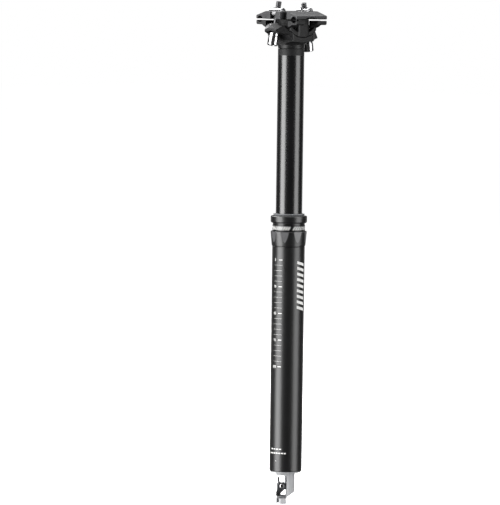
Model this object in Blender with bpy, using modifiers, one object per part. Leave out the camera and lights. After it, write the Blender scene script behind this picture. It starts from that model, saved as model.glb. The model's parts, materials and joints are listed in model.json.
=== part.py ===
"""Dropper seatpost: a telescopic bicycle seatpost with a two-bolt saddle clamp.

Blender 4.5, metres, +Z up along the post. +X points to the front of the bicycle, the saddle rails
run along X, and the origin lies on the post's axis at the underside of the collar nut.
The post is modelled at full extension.
"""
import math

import bmesh
import bpy
from mathutils import Matrix, Vector

MM = 0.001

# ---------------------------------------------------------------- driving dimensions (millimetres)
GAP = 0.3                      # clearance between touching pieces

# outer tube
TUBE_R = 15.45                 # 30.9 mm seat-tube size
TUBE_BORE_R = 13.6
TUBE_BOTTOM_Z = -214.5
TUBE_NECK_R = 14.3             # threaded neck under the collar nut
TUBE_NECK_Z = 11.7
TUBE_EDGE = 1.0                # rounding of the lower rim
KEYWAY_R = 14.5
KEYWAY_W = 2.9
KEYWAY_TOP_Z = -16.2
KEY_COUNT = 3

# stanchion
TRAVEL = 150.0
STAN_R = 12.5
STAN_BORE_R = 11.2
STAN_BOTTOM_Z = -45.0
STAN_TOP_Z = 187.1
KEY_W = 2.4
KEY_LENGTH = 10.0
KEY_TOP_Z = -20.5
KEY_OUT_R = 14.2
KEY_IN_R = 11.9
KEY_POCKET_R = 11.6
BUSH_OUT_R = 13.35

# collar
NUT_TOP_Z = 14.2
NUT_R = 17.2
NUT_FOOT_R = 15.85
NUT_NECK_R = 14.1
NUT_NECK_Z = 26.0
FLATS = 8
FLAT_TIP_Z = 3.4
FLAT_HALF_ANGLE = 14.0
FLAT_PHASE = 30.0
BAND_R = 15.5
BAND_TOP_Z = 20.1
RING_R = 17.25
RING_BOTTOM_Z = 22.0
RING_TOP_Z = 28.7
WIPER_TOP_Z = 30.9
COLLAR_BORE_R = 12.85

# cartridge
CYL_R = 8.5
CYL_BORE_R = 7.5
CYL_BOTTOM_Z = -40.0
CYL_TOP_Z = 174.0
STUD_R = 2.8
STUD_TOP_Z = 190.0
ROD_R = 4.0
ROD_BORE_R = 1.6
ROD_BOTTOM_Z = -213.5
ROD_TOP_Z = -25.0
PIN_R = 1.3
PIN_TOP_Z = -27.0

# actuator at the foot, turned about the post's axis
ACT_TURN = -46.0
ACT_R = 9.0
ACT_TOP_Z = -216.5
ACT_BOTTOM_Z = -246.0
ACT_FLAT = 7.9                 # half distance across the two milled flats
PLUG_R = 13.2
PLUG_TOP_Z = -206.5
PIVOT_U = -3.1                 # lever pivot, measured across the post
PIVOT_Z = -229.2
PIVOT_PIN_R = 1.2
LEVER_HALF = 2.2               # half the lever's thickness
NOSE_U = 3.1                   # contact nose, from the pivot
NOSE_UP = 0.9
NOSE_R = 1.4
FOOT_U = -3.7                  # cable barrel, from the pivot
FOOT_DOWN = -7.7
FOOT_R = 2.5
BARREL_R = 1.75
POCKET_BACK = 2.7              # depth of the lever pocket behind the axis

# saddle clamp
TILT_Z = 225.0                 # centre of the rocking seat
SEAT_R = 27.0
CRADLE_R = 26.7
RAIL_R = 3.5
RAIL_Y = 22.0
RAIL_Z = 215.0
RAIL_BITE = 0.6                # how far each half groove is shallower than the rail's half
SLIT_LOW_Z = 213.95
SLIT_HIGH_Z = 215.25
CLAMP_HALF_X = 20.75
CLAMP_HALF_Y = 26.75
EAR_IN_X = 9.0
EAR_IN_Y = 14.2
BOWL_HALF_X = 17.4
HUB_HALF_X = 8.6
HUB_HALF_TALL = 16.0
HUB_TOP_Z = 215.2              # the hub stands up into the arch under the top clamp
ARCH_R = 27.3
ARCH_TOP_Z = 217.15
PLATE_TOP_Z = 222.6
PLATE_EDGE_Z = 218.6
PLATE_FLAT_Y = 14.5
PRONG_X = 25.8
PRONG_Y = 10.0
NOTCH_X = 18.4
CLAMP_SLOT_X = 13.2
SLOT_HALF_Y = 3.4
BODY_HALF_Y = 16.0

# head forging
HEAD_FOOT_Z = 187.4
SPIGOT_R = 10.9
SPIGOT_Z = 165.0
SPIGOT_BORE_R = 9.0
FLOOR_LOW_Z = 176.0
FLOOR_HIGH_Z = 181.0
POCKET_R = 6.6
ROD_NUT_R = 6.9                # across corners, halved
STUD_NUT_R = 5.77
HEX_NUT_TALL = 5.3

# clamp bolts: lean outwards going down; swing about a point inside each ear
BOLT_R = 2.5                   # root of an M6 thread
REAR_LEAN = 11.8
FRONT_LEAN = -9.26
REAR_SWING = (-23.02, 205.0)
FRONT_SWING = (21.55, 199.0)
REAR_TIP = 27.6                # along the bolt, above the swing point
FRONT_TIP = 32.0
EAR_BELOW = 3.1                # ear's underside below the swing point, along the bolt
DOME_R = 5.9                   # washer's domed face, about the swing point
WASHER_R = 4.8
WASHER_FOOT = 6.1
HEAD_TOP = 6.4
HEAD_END = 14.9
BOLT_HEAD_R = 4.95
HEX_R = 2.9
BARREL_NUT_R = 4.9
BARREL_NUT_HALF = 7.2
BARREL_NUT_Z = 221.2
BARREL_NUT_BORE_R = 3.5

SMOOTH = 48                    # sides of the large round pieces
MEDIUM = 28
SMALL = 16
BOLT_SIDES = 24


# ---------------------------------------------------------------- scene and material helpers
def clear_scene():
    for old in list(bpy.data.objects):
        bpy.data.objects.remove(old, do_unlink=True)


def new_collection(name):
    group = bpy.data.collections.new(name)
    bpy.context.scene.collection.children.link(group)
    return group


def finish(name, colour, roughness, metallic):
    material = bpy.data.materials.new(name)
    material.use_nodes = True
    shader = material.node_tree.nodes["Principled BSDF"]
    shader.inputs["Base Color"].default_value = (*colour, 1.0)
    shader.inputs["Roughness"].default_value = roughness
    shader.inputs["Metallic"].default_value = metallic
    return material


clear_scene()
POST = new_collection("dropper_seatpost")
CUTTERS = new_collection("cutters")


# ---------------------------------------------------------------- geometry helpers
def add_piece(name, mesh, material):
    piece = bpy.data.objects.new(name, mesh)
    POST.objects.link(piece)
    mesh.materials.clear()
    mesh.materials.append(material)
    return piece


def add_tool(name, mesh):
    tool = bpy.data.objects.new(name, mesh)
    CUTTERS.objects.link(tool)
    tool.hide_render = True
    tool.display_type = "WIRE"
    return tool


def place(piece, location=(0, 0, 0), turn=(0, 0, 0)):
    piece.location = [value * MM for value in location]
    piece.rotation_euler = [math.radians(angle) for angle in turn]
    return piece


def smooth(piece):
    piece.data.shade_smooth()
    piece.data.set_sharp_from_angle(angle=math.radians(35))
    return piece


def turned_mesh(name, profile):
    """A profile of (radius, height) points in millimetres, outer side first, top to bottom."""
    mesh = bpy.data.meshes.new(name)
    points = [(radius * MM, 0.0, height * MM) for radius, height in profile]
    edges = [(i, i + 1) for i in range(len(points) - 1)]
    on_axis = profile[0][0] == 0 and profile[-1][0] == 0
    if not on_axis:
        edges.append((len(points) - 1, 0))
    mesh.from_pydata(points, edges, [])
    return mesh


def spin(piece, steps):
    screw = piece.modifiers.new("turn", "SCREW")
    screw.steps = steps
    screw.render_steps = steps
    screw.use_merge_vertices = True
    screw.merge_threshold = 0.00001
    screw.use_smooth_shade = True
    return piece


def turned(name, profile, material, steps=SMOOTH):
    return spin(add_piece(name, turned_mesh(name, profile), material), steps)


def ring_profile(inner, outer, low, high, chamfer=0.0):
    """A plain ring with its outer edges chamfered."""
    c = chamfer
    if c == 0:
        return [(outer, high), (outer, low), (inner, low), (inner, high)]
    return [(outer - c, high), (outer, high - c), (outer, low + c), (outer - c, low),
            (inner, low), (inner, high)]


def bm_mesh(name, maker):
    shape = bmesh.new()
    maker(shape)
    mesh = bpy.data.meshes.new(name)
    shape.to_mesh(mesh)
    shape.free()
    return mesh


def rod_mesh(name, radius, low, high, sides):
    """A cylinder along Z from low to high."""
    def build(shape):
        bmesh.ops.create_cone(shape, cap_ends=True, segments=sides, radius1=radius * MM,
                              radius2=radius * MM, depth=(high - low) * MM,
                              matrix=Matrix.Translation((0, 0, (high + low) / 2 * MM)))
    return bm_mesh(name, build)


def box_mesh(name, low, high):
    size = [(b - a) * MM for a, b in zip(low, high)]
    middle = [(b + a) / 2 * MM for a, b in zip(low, high)]

    def build(shape):
        matrix = Matrix.Translation(middle) @ Matrix.Diagonal((*size, 1.0))
        bmesh.ops.create_cube(shape, size=1.0, matrix=matrix)
    return bm_mesh(name, build)


def outline_mesh(name, outline, half_depth):
    """A closed flat outline in the XY plane, extruded both ways along Z."""
    curve = bpy.data.curves.new(name, "CURVE")
    curve.dimensions = "2D"
    curve.fill_mode = "BOTH"
    curve.extrude = half_depth * MM
    line = curve.splines.new("POLY")
    line.points.add(len(outline) - 1)
    for point, (x, y) in zip(line.points, outline):
        point.co = (x * MM, y * MM, 0.0, 1.0)
    line.use_cyclic_u = True
    holder = bpy.data.objects.new(name, curve)
    bpy.context.scene.collection.objects.link(holder)
    graph = bpy.context.evaluated_depsgraph_get()
    mesh = bpy.data.meshes.new_from_object(holder.evaluated_get(graph))
    bpy.data.objects.remove(holder, do_unlink=True)
    weld = bmesh.new()
    weld.from_mesh(mesh)
    bmesh.ops.remove_doubles(weld, verts=weld.verts, dist=0.000001)
    bmesh.ops.recalc_face_normals(weld, faces=weld.faces)
    weld.to_mesh(mesh)
    weld.free()
    return mesh


def side_mesh(name, outline, half_depth):
    """An outline in the XZ plane, extruded both ways along Y."""
    mesh = outline_mesh(name, outline, half_depth)
    mesh.transform(Matrix.Rotation(math.radians(90), 4, "X"))
    return mesh


def end_mesh(name, outline, half_depth):
    """An outline in the YZ plane, extruded both ways along X."""
    mesh = outline_mesh(name, outline, half_depth)
    mesh.transform(Matrix.Rotation(math.radians(90), 4, "Z") @ Matrix.Rotation(math.radians(90), 4, "X"))
    return mesh


def arc(cx, cy, radius, start, end, count):
    """Points on a circle from start to end, in degrees."""
    points = []
    for i in range(count + 1):
        angle = math.radians(start + (end - start) * i / count)
        points.append((cx + radius * math.cos(angle), cy + radius * math.sin(angle)))
    return points


def rounded(corners, radius, count=4):
    """A closed outline with each corner replaced by a round of the given radius."""
    result = []
    size = len(corners)
    for i, corner in enumerate(corners):
        here = Vector(corner)
        back = Vector(corners[i - 1]) - here
        ahead = Vector(corners[(i + 1) % size]) - here
        half = back.angle(ahead) / 2
        reach = min(radius / math.tan(half), back.length * 0.49, ahead.length * 0.49)
        true_radius = reach * math.tan(half)
        bisector = (back.normalized() + ahead.normalized()).normalized()
        middle = here + bisector * (true_radius / math.sin(half))
        first = here + back.normalized() * reach - middle
        last = here + ahead.normalized() * reach - middle
        sweep = first.angle_signed(last)
        for k in range(count + 1):
            turn = -sweep * k / count
            spoke = Vector((first.x * math.cos(turn) - first.y * math.sin(turn),
                            first.x * math.sin(turn) + first.y * math.cos(turn)))
            result.append(tuple(middle + spoke))
    return result


def combine(piece, tool, operation):
    step = piece.modifiers.new(tool.name, "BOOLEAN")
    step.operation = operation
    step.solver = "EXACT"
    step.object = tool
    return piece


def cut(piece, tool):
    return combine(piece, tool, "DIFFERENCE")


def join(piece, tool):
    return combine(piece, tool, "UNION")


def keep(piece, tool):
    return combine(piece, tool, "INTERSECT")


def spun_tool(name, profile, steps=MEDIUM):
    return spin(add_tool(name, turned_mesh(name, profile)), steps)


# ---------------------------------------------------------------- finishes
BLASTED_BLACK = finish("blasted_black_anodising", (0.020, 0.020, 0.021), 0.48, 0.6)
GLOSS_BLACK = finish("polished_hard_anodising", (0.012, 0.012, 0.013), 0.16, 0.7)
FORGED_BLACK = finish("satin_black_forging", (0.030, 0.030, 0.032), 0.42, 0.6)
SATIN_GREY = finish("satin_dark_plate", (0.10, 0.10, 0.105), 0.36, 0.7)
SILVER = finish("machined_silver_aluminium", (0.62, 0.62, 0.63), 0.32, 1.0)
CHROME = finish("nickel_plated_steel", (0.72, 0.72, 0.73), 0.16, 1.0)
STEEL = finish("ground_steel", (0.42, 0.42, 0.43), 0.24, 1.0)
RUBBER = finish("black_seal_rubber", (0.018, 0.018, 0.018), 0.7, 0.0)
BUSHING = finish("bushing_polymer", (0.10, 0.11, 0.12), 0.5, 0.0)
BRASS = finish("key_brass", (0.60, 0.42, 0.16), 0.35, 1.0)
LEVER_GREY = finish("hard_anodised_lever", (0.09, 0.09, 0.095), 0.4, 0.7)


# ---------------------------------------------------------------- outer tube and collar
def outer_tube():
    edge = arc(TUBE_R - TUBE_EDGE, TUBE_BOTTOM_Z + TUBE_EDGE, TUBE_EDGE, 0, -90, 4)
    profile = [(TUBE_NECK_R, TUBE_NECK_Z), (TUBE_NECK_R, -GAP), (TUBE_R, -GAP), *edge,
               (TUBE_BORE_R, TUBE_BOTTOM_Z), (TUBE_BORE_R, TUBE_NECK_Z)]
    tube = turned("outer_tube", profile, BLASTED_BLACK)
    for i in range(KEY_COUNT):
        name = f"keyway_{i + 1}"
        low_corner = (TUBE_BORE_R - 2, -KEYWAY_W / 2, TUBE_BOTTOM_Z - 1)
        keyway = add_tool(name, box_mesh(name, low_corner, (KEYWAY_R, KEYWAY_W / 2, KEYWAY_TOP_Z)))
        place(keyway, turn=(0, 0, 360 / KEY_COUNT * i))
        cut(tube, keyway)


def collar_nut():
    profile = [(NUT_NECK_R, NUT_NECK_Z), (NUT_NECK_R, NUT_TOP_Z), (NUT_R - 0.5, NUT_TOP_Z),
               (NUT_R, NUT_TOP_Z - 0.5), (NUT_FOOT_R + 0.2, 0.9), (NUT_FOOT_R, 0.9), (NUT_FOOT_R, 0.0),
               (TUBE_NECK_R + GAP, 0.0), (TUBE_NECK_R + GAP, TUBE_NECK_Z + GAP),
               (COLLAR_BORE_R, TUBE_NECK_Z + GAP), (COLLAR_BORE_R, NUT_NECK_Z)]
    nut = turned("collar_nut", profile, BLASTED_BLACK, 72)
    top = NUT_R * math.cos(math.radians(FLAT_HALF_ANGLE))
    taper = (NUT_R - NUT_FOOT_R - 0.2) / (NUT_TOP_Z - 1.4)
    tip = NUT_FOOT_R + 0.2 + taper * (FLAT_TIP_Z - 0.9)
    lean = math.degrees(math.atan((top - tip) / (NUT_TOP_Z - FLAT_TIP_Z)))
    for i in range(FLATS):
        angle = math.radians(FLAT_PHASE + 360 / FLATS * i)
        flat = add_tool(f"wrench_flat_{i + 1}", box_mesh(f"wrench_flat_{i + 1}", (0, -8, -1), (4, 8, 16)))
        place(flat, (tip * math.cos(angle), tip * math.sin(angle), FLAT_TIP_Z),
              (0, lean, math.degrees(angle)))
        cut(nut, flat)


def collar_rings():
    band = ring_profile(NUT_NECK_R + GAP, BAND_R, NUT_TOP_Z + GAP, BAND_TOP_Z, 0.2)
    turned("collar_band", band, GLOSS_BLACK)
    inner = NUT_NECK_R + GAP
    profile = [(RING_R - 0.5, RING_TOP_Z), (RING_R, RING_TOP_Z - 0.5), (RING_R, RING_BOTTOM_Z + 1.1),
               (RING_R - 0.9, RING_BOTTOM_Z), (BAND_R - 0.35, RING_BOTTOM_Z),
               (BAND_R - 0.35, BAND_TOP_Z + GAP),
               (inner, BAND_TOP_Z + GAP), (inner, RING_TOP_Z)]
    turned("collar_ring", profile, GLOSS_BLACK)
    foot = NUT_NECK_Z + GAP
    lip = STAN_R + GAP
    wiper = [(13.5, WIPER_TOP_Z), (15.0, WIPER_TOP_Z - 0.4), (15.0, WIPER_TOP_Z - 1.0),
             (14.6, RING_TOP_Z + GAP), (inner - GAP, RING_TOP_Z + GAP), (inner - GAP, foot),
             (lip + 0.3, foot), (lip + 0.3, WIPER_TOP_Z - 1.2), (lip, WIPER_TOP_Z - 0.8),
             (lip, WIPER_TOP_Z - 0.3)]
    turned("wiper_seal", wiper, RUBBER)
    turned("upper_bushing", ring_profile(STAN_R + 0.25, BUSH_OUT_R, -16.0, 9.0), BUSHING)
    turned("top_out_ring", ring_profile(STAN_R + 0.35, BUSH_OUT_R, -20.0, -16.4), RUBBER)


# ---------------------------------------------------------------- stanchion, keys and lower bushing
def stanchion():
    low = STAN_BOTTOM_Z
    profile = [(STAN_R, STAN_TOP_Z), (STAN_R, low + 14.0), (STAN_R - 0.4, low + 14.0),
               (STAN_R - 0.4, low + 2.0), (STAN_R, low + 2.0), (STAN_R, low + 0.5), (STAN_R - 0.5, low),
               (STAN_BORE_R, low), (STAN_BORE_R, STAN_TOP_Z)]
    tube = turned("stanchion_tube", profile, GLOSS_BLACK)
    turned("lower_bushing", ring_profile(STAN_R - 0.15, BUSH_OUT_R, low + 2.3, low + 13.7), BUSHING)
    for i in range(KEY_COUNT):
        turn = (0, 0, 360 / KEY_COUNT * i)
        half = KEY_W / 2
        pocket_mesh = box_mesh(f"key_pocket_{i + 1}",
                               (KEY_POCKET_R, -half - 0.25, KEY_TOP_Z - KEY_LENGTH - 0.25),
                               (STAN_R + 2, half + 0.25, KEY_TOP_Z + 0.25))
        pocket = add_tool(f"key_pocket_{i + 1}", pocket_mesh)
        place(pocket, turn=turn)
        cut(tube, pocket)
        key = add_piece(f"key_{i + 1}", box_mesh(f"key_{i + 1}", (KEY_IN_R, -half, KEY_TOP_Z - KEY_LENGTH),
                                                 (KEY_OUT_R, half, KEY_TOP_Z)), BRASS)
        place(key, turn=turn)
        bevel = key.modifiers.new("rounding", "BEVEL")
        bevel.width = 0.4 * MM
        bevel.segments = 2


# ---------------------------------------------------------------- locking gas cartridge
def cartridge():
    wall = [(0, STUD_TOP_Z), (STUD_R - 0.4, STUD_TOP_Z), (STUD_R, STUD_TOP_Z - 0.4), (STUD_R, CYL_TOP_Z),
            (CYL_R - 0.6, CYL_TOP_Z), (CYL_R, CYL_TOP_Z - 0.6), (CYL_R, CYL_BOTTOM_Z),
            (CYL_BORE_R, CYL_BOTTOM_Z), (CYL_BORE_R, CYL_TOP_Z - 6), (0, CYL_TOP_Z - 6)]
    turned("cartridge_cylinder", wall, STEEL, MEDIUM)
    low = CYL_BOTTOM_Z
    gland = [(CYL_BORE_R - GAP, low + 5.4), (CYL_BORE_R - GAP, low + 0.2), (ROD_R + GAP, low + 0.2),
             (ROD_R + GAP, low + 1.6), (5.6, low + 1.6), (5.6, low + 3.8),
             (ROD_R + GAP, low + 3.8), (ROD_R + GAP, low + 5.4)]
    turned("cylinder_gland", gland, SILVER, MEDIUM)
    turned("rod_seal", ring_profile(ROD_R + 0.15, 5.35, low + 1.9, low + 3.5), RUBBER, MEDIUM)
    rod = [(ROD_R - 0.3, ROD_TOP_Z), (ROD_R, ROD_TOP_Z - 0.3), (ROD_R, ROD_BOTTOM_Z),
           (ROD_BORE_R, ROD_BOTTOM_Z),
           (ROD_BORE_R, ROD_TOP_Z)]
    turned("cartridge_rod", rod, CHROME, MEDIUM)
    high = ROD_TOP_Z - 1.0
    deep = high - 8.0
    piston = [(7.2, high), (7.2, high - 3.0), (6.0, high - 3.0), (6.0, high - 5.0), (7.2, high - 5.0),
              (7.2, deep), (ROD_R + GAP, deep), (ROD_R + GAP, high)]
    turned("cartridge_piston", piston, BRASS, MEDIUM)
    turned("piston_seal", ring_profile(6.2, 7.35, high - 4.8, high - 3.2), RUBBER, MEDIUM)
    hex_nut("rod_lock_nut", ROD_NUT_R, ROD_R + GAP, PLUG_TOP_Z)
    hex_nut("cartridge_nut", STUD_NUT_R, STUD_R + GAP, FLOOR_HIGH_Z)


def hex_nut(name, corner_radius, bore_radius, floor_z):
    """A six-sided nut that sits just above floor_z."""
    nut = add_piece(name, rod_mesh(name, corner_radius, floor_z + GAP, floor_z + HEX_NUT_TALL, 6), CHROME)
    bore = rod_mesh(f"{name}_bore", bore_radius, floor_z - 2, floor_z + HEX_NUT_TALL + 2, SMALL)
    cut(nut, add_tool(f"{name}_bore", bore))


# ---------------------------------------------------------------- actuator at the foot of the post
def across_tool(name, mesh):
    """A cutter in the actuator's own directions: u across, v away, z up."""
    return place(add_tool(name, mesh), turn=(0, 0, ACT_TURN))


def actuator_housing():
    low = ACT_BOTTOM_Z
    profile = [(PLUG_R - 0.5, PLUG_TOP_Z), (PLUG_R, PLUG_TOP_Z - 0.5), (PLUG_R, -212.0), (11.5, -212.0),
               (11.5, ACT_TOP_Z), (ACT_R, ACT_TOP_Z), (ACT_R, low), (0, low), (0, ROD_BOTTOM_Z - GAP),
               (ROD_R + GAP, ROD_BOTTOM_Z - GAP), (ROD_R + GAP, PLUG_TOP_Z)]
    mesh = turned_mesh("actuator_housing", profile)
    housing = spin(add_piece("actuator_housing", mesh, SILVER), SMOOTH)
    place(housing, turn=(0, 0, ACT_TURN))
    for side in (-1, 1):
        ends = sorted((side * ACT_FLAT, side * (ACT_FLAT + 3)))
        flat = box_mesh("milled_flat", (-12, ends[0], low - 1), (12, ends[1], ACT_TOP_Z - 0.01))
        cut(housing, across_tool(f"milled_flat_{side}", flat))
    nook = [(1.0, low - 1), (1.0, low + 4.9), (2.4, low + 7.3), (9.6, low + 12.0),
            (12.0, low + 12.0), (12.0, low - 1)]
    cut(housing, across_tool("chamfer_below", side_mesh("chamfer_below", nook, 12)))
    pocket = rounded([(-12.0, -218.9), (1.3, -218.9), (1.3, -240.9), (-12.0, -240.9)], 1.6)
    pocket_mesh = side_mesh("lever_pocket", pocket, (12 + POCKET_BACK) / 2)
    pocket_mesh.transform(Matrix.Translation((0, (POCKET_BACK - 12) / 2 * MM, 0)))
    cut(housing, across_tool("lever_pocket", pocket_mesh))
    upper = rounded([(-12.0, -219.8), (-0.9, -219.8), (-0.9, -226.6), (-12.0, -226.6)], 1.4)
    cut(housing, across_tool("upper_window", side_mesh("upper_window", upper, 12)))
    lower = rounded([(-5.6, -238.6), (0.5, -238.6), (0.7, -231.6)], 0.9)
    cut(housing, across_tool("lower_window", side_mesh("lower_window", lower, 12)))
    slot_u = PIVOT_U + FOOT_U
    slot = box_mesh("cable_slot", (slot_u - 0.8, -12, low - 1), (slot_u + 0.8, 0.8, -239.0))
    cut(housing, across_tool("cable_slot", slot))
    cut(housing, across_tool("cable_stop", rod_mesh("cable_stop", 1.9, 0, 3.0, SMALL)))
    stop = CUTTERS.objects["cable_stop"]
    spot = Matrix.Rotation(math.radians(ACT_TURN), 3, "Z") @ Vector((slot_u, 0, 0))
    place(stop, (spot.x, spot.y, low - 1.0), (0, 0, ACT_TURN))
    cut(housing, across_tool("pin_bore", rod_mesh("pin_bore", PIN_R + 0.4, -232, -210, SMALL)))
    pivot_bore = rod_mesh("pivot_bore", PIVOT_PIN_R + 0.2, 0, 12, SMALL)
    pivot_bore.transform(Matrix.Translation((PIVOT_U * MM, 0, PIVOT_Z * MM))
                         @ Matrix.Rotation(math.radians(-90), 4, "X"))
    cut(housing, across_tool("pivot_bore", pivot_bore))


def housing_ring():
    profile = [(13.3, TUBE_BOTTOM_Z + 2.2), (13.3, TUBE_BOTTOM_Z - GAP), (14.7, TUBE_BOTTOM_Z - GAP),
               (14.7, ACT_TOP_Z + 0.9), (14.3, ACT_TOP_Z + 0.5), (11.8, ACT_TOP_Z + 0.5),
               (11.8, TUBE_BOTTOM_Z + 2.2)]
    turned("housing_ring", profile, SILVER)


def pivot_place():
    """The lever's pivot in world millimetres."""
    spot = Matrix.Rotation(math.radians(ACT_TURN), 3, "Z") @ Vector((PIVOT_U, 0, PIVOT_Z))
    return tuple(spot)


def pivot_pin():
    profile = [(0, 6.9), (PIVOT_PIN_R, 6.9), (PIVOT_PIN_R, -LEVER_HALF - 0.5), (2.0, -LEVER_HALF - 0.5),
               (2.0, -LEVER_HALF - 1.0), (1.6, -LEVER_HALF - 1.3), (0, -LEVER_HALF - 1.3)]
    pin = turned("lever_pivot_pin", profile, CHROME, SMALL)
    pin.data.transform(Matrix.Rotation(math.radians(-90), 4, "X"))
    pin.modifiers["turn"].axis = "Y"
    place(pin, pivot_place(), (0, 0, ACT_TURN))


def lever():
    arm = rounded([(-4.0, 1.4), (-1.6, 2.3), (2.1, 1.6), (2.3, -1.6),
                   (0.9, -3.4), (-1.8, -6.0), (-5.6, -6.6), (-4.2, -3.5)], 0.8)
    piece = add_piece("actuator_lever", side_mesh("actuator_lever", arm, LEVER_HALF), LEVER_GREY)
    place(piece, pivot_place(), (0, 0, ACT_TURN))

    def lobe(name, shape_mesh):
        tool = add_tool(name, shape_mesh)
        place(tool, pivot_place(), (0, 0, ACT_TURN))
        return tool

    def across(name, radius, u, z, half):
        mesh = rod_mesh(name, radius, -half, half, SMALL)
        mesh.transform(Matrix.Translation((u * MM, 0, z * MM)) @ Matrix.Rotation(math.radians(90), 4, "X"))
        return mesh

    nose = rounded([(0.0, -1.6), (NOSE_U + 0.2, -0.4), (NOSE_U + 0.4, 1.9), (NOSE_U - 1.1, 2.2),
                    (0.0, 2.2)], 0.7)
    join(piece, lobe("lever_nose", side_mesh("lever_nose", nose, LEVER_HALF - 0.01)))
    join(piece, lobe("lever_foot", across("lever_foot", FOOT_R, FOOT_U, FOOT_DOWN, LEVER_HALF - 0.02)))
    inner = arc(2.6, 6.0, 5.2, 228, 158, 7)
    outer = arc(2.6, 6.0, 6.9, 158, 228, 7)
    join(piece, lobe("lever_horn", side_mesh("lever_horn", inner + outer, LEVER_HALF - 0.6)))
    cut(piece, lobe("lever_bore", across("lever_bore", PIVOT_PIN_R + 0.2, 0, 0, 6)))
    cut(piece, lobe("barrel_bore", across("barrel_bore", BARREL_R + 0.25, FOOT_U, FOOT_DOWN, 6)))
    notch = box_mesh("cable_notch", (FOOT_U - 0.8, -6, FOOT_DOWN - 4), (FOOT_U + 0.8, 0.8, FOOT_DOWN))
    cut(piece, lobe("cable_notch", notch))


def cable_barrel():
    offset = Vector((PIVOT_U + FOOT_U, 0, PIVOT_Z + FOOT_DOWN))
    centre = Matrix.Rotation(math.radians(ACT_TURN), 3, "Z") @ offset
    mesh = rod_mesh("cable_barrel", BARREL_R, -LEVER_HALF - 0.2, LEVER_HALF + 0.2, SMALL)
    mesh.transform(Matrix.Rotation(math.radians(90), 4, "X"))
    barrel = place(add_piece("cable_barrel", mesh, STEEL), tuple(centre), (0, 0, ACT_TURN))
    bore = add_tool("cable_bore", rod_mesh("cable_bore", 0.75, -3, 3, SMALL))
    cut(barrel, place(bore, tuple(centre), (0, 0, ACT_TURN)))
    tap_mesh = rod_mesh("screw_bore", 1.15, 0.9, 5, SMALL)
    tap_mesh.transform(Matrix.Rotation(math.radians(90), 4, "X"))
    cut(barrel, place(add_tool("screw_bore", tap_mesh), tuple(centre), (0, 0, ACT_TURN)))
    screw_mesh = rod_mesh("barrel_screw", 0.95, 1.1, 2.7, SMALL)
    screw_mesh.transform(Matrix.Rotation(math.radians(90), 4, "X"))
    screw = place(add_piece("barrel_screw", screw_mesh, STEEL), tuple(centre), (0, 0, ACT_TURN))
    socket_mesh = rod_mesh("screw_socket", 0.5, 2.0, 5, 6)
    socket_mesh.transform(Matrix.Rotation(math.radians(90), 4, "X"))
    cut(screw, place(add_tool("screw_socket", socket_mesh), tuple(centre), (0, 0, ACT_TURN)))


def release_pin():
    bottom = PIVOT_Z + 2.2 + GAP
    profile = [(0, PIN_TOP_Z), (PIN_R, PIN_TOP_Z), (PIN_R, bottom + 0.4), (PIN_R - 0.3, bottom),
               (0, bottom)]
    turned("release_pin", profile, STEEL, SMALL)


# ---------------------------------------------------------------- head forging
def lean_matrix(swing, lean):
    """From a bolt's own frame, +Z up along it from its swing point, to the world."""
    return (Matrix.Translation((swing[0] * MM, 0, swing[1] * MM))
            @ Matrix.Rotation(math.radians(lean), 4, "Y"))


def along_bolt(swing, lean, distance):
    return (swing[0] + distance * math.sin(math.radians(lean)),
            swing[1] + distance * math.cos(math.radians(lean)))


def stadium(half_x, half_y, count=8):
    reach = half_x - half_y
    return arc(reach, 0, half_y, -90, 90, count) + arc(-reach, 0, half_y, 90, 270, count)


def head_profile():
    """The forging from the side: two arms with the rocking seat between them."""
    rear_seat = along_bolt(REAR_SWING, REAR_LEAN, -EAR_BELOW)
    front_seat = along_bolt(FRONT_SWING, FRONT_LEAN, -EAR_BELOW)
    rear_slope = math.tan(math.radians(REAR_LEAN))
    front_slope = math.tan(math.radians(FRONT_LEAN))
    rear_top = TILT_Z - 12.3
    front_top = TILT_Z - 20.8
    rear_x = -math.sqrt(SEAT_R ** 2 - (TILT_Z - rear_top) ** 2)
    front_x = math.sqrt(SEAT_R ** 2 - (TILT_Z - front_top) ** 2)
    start = math.degrees(math.atan2(rear_top - TILT_Z, rear_x)) % 360
    end = math.degrees(math.atan2(front_top - TILT_Z, front_x)) % 360
    seat = arc(0, TILT_Z, SEAT_R, start, end, 28)
    def under_front(x):
        return (x, front_seat[1] - (x - front_seat[0]) * front_slope)

    def under_rear(x):
        return (x, rear_seat[1] - (x - rear_seat[0]) * rear_slope)

    right = [(front_x + 5.2, front_top), (28.2, 197.4), under_front(27.9), under_front(17.6),
             (14.4, 192.4), (12.9, 190.2), (12.5, HEAD_FOOT_Z)]
    left = [(-12.5, HEAD_FOOT_Z), (-12.9, 191.2), (-14.6, 195.4), under_rear(-18.6), under_rear(-28.4),
            (-29.4, 204.6), (-29.0, 206.4), (rear_x - 0.9, rear_top)]
    return seat + right + left


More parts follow.
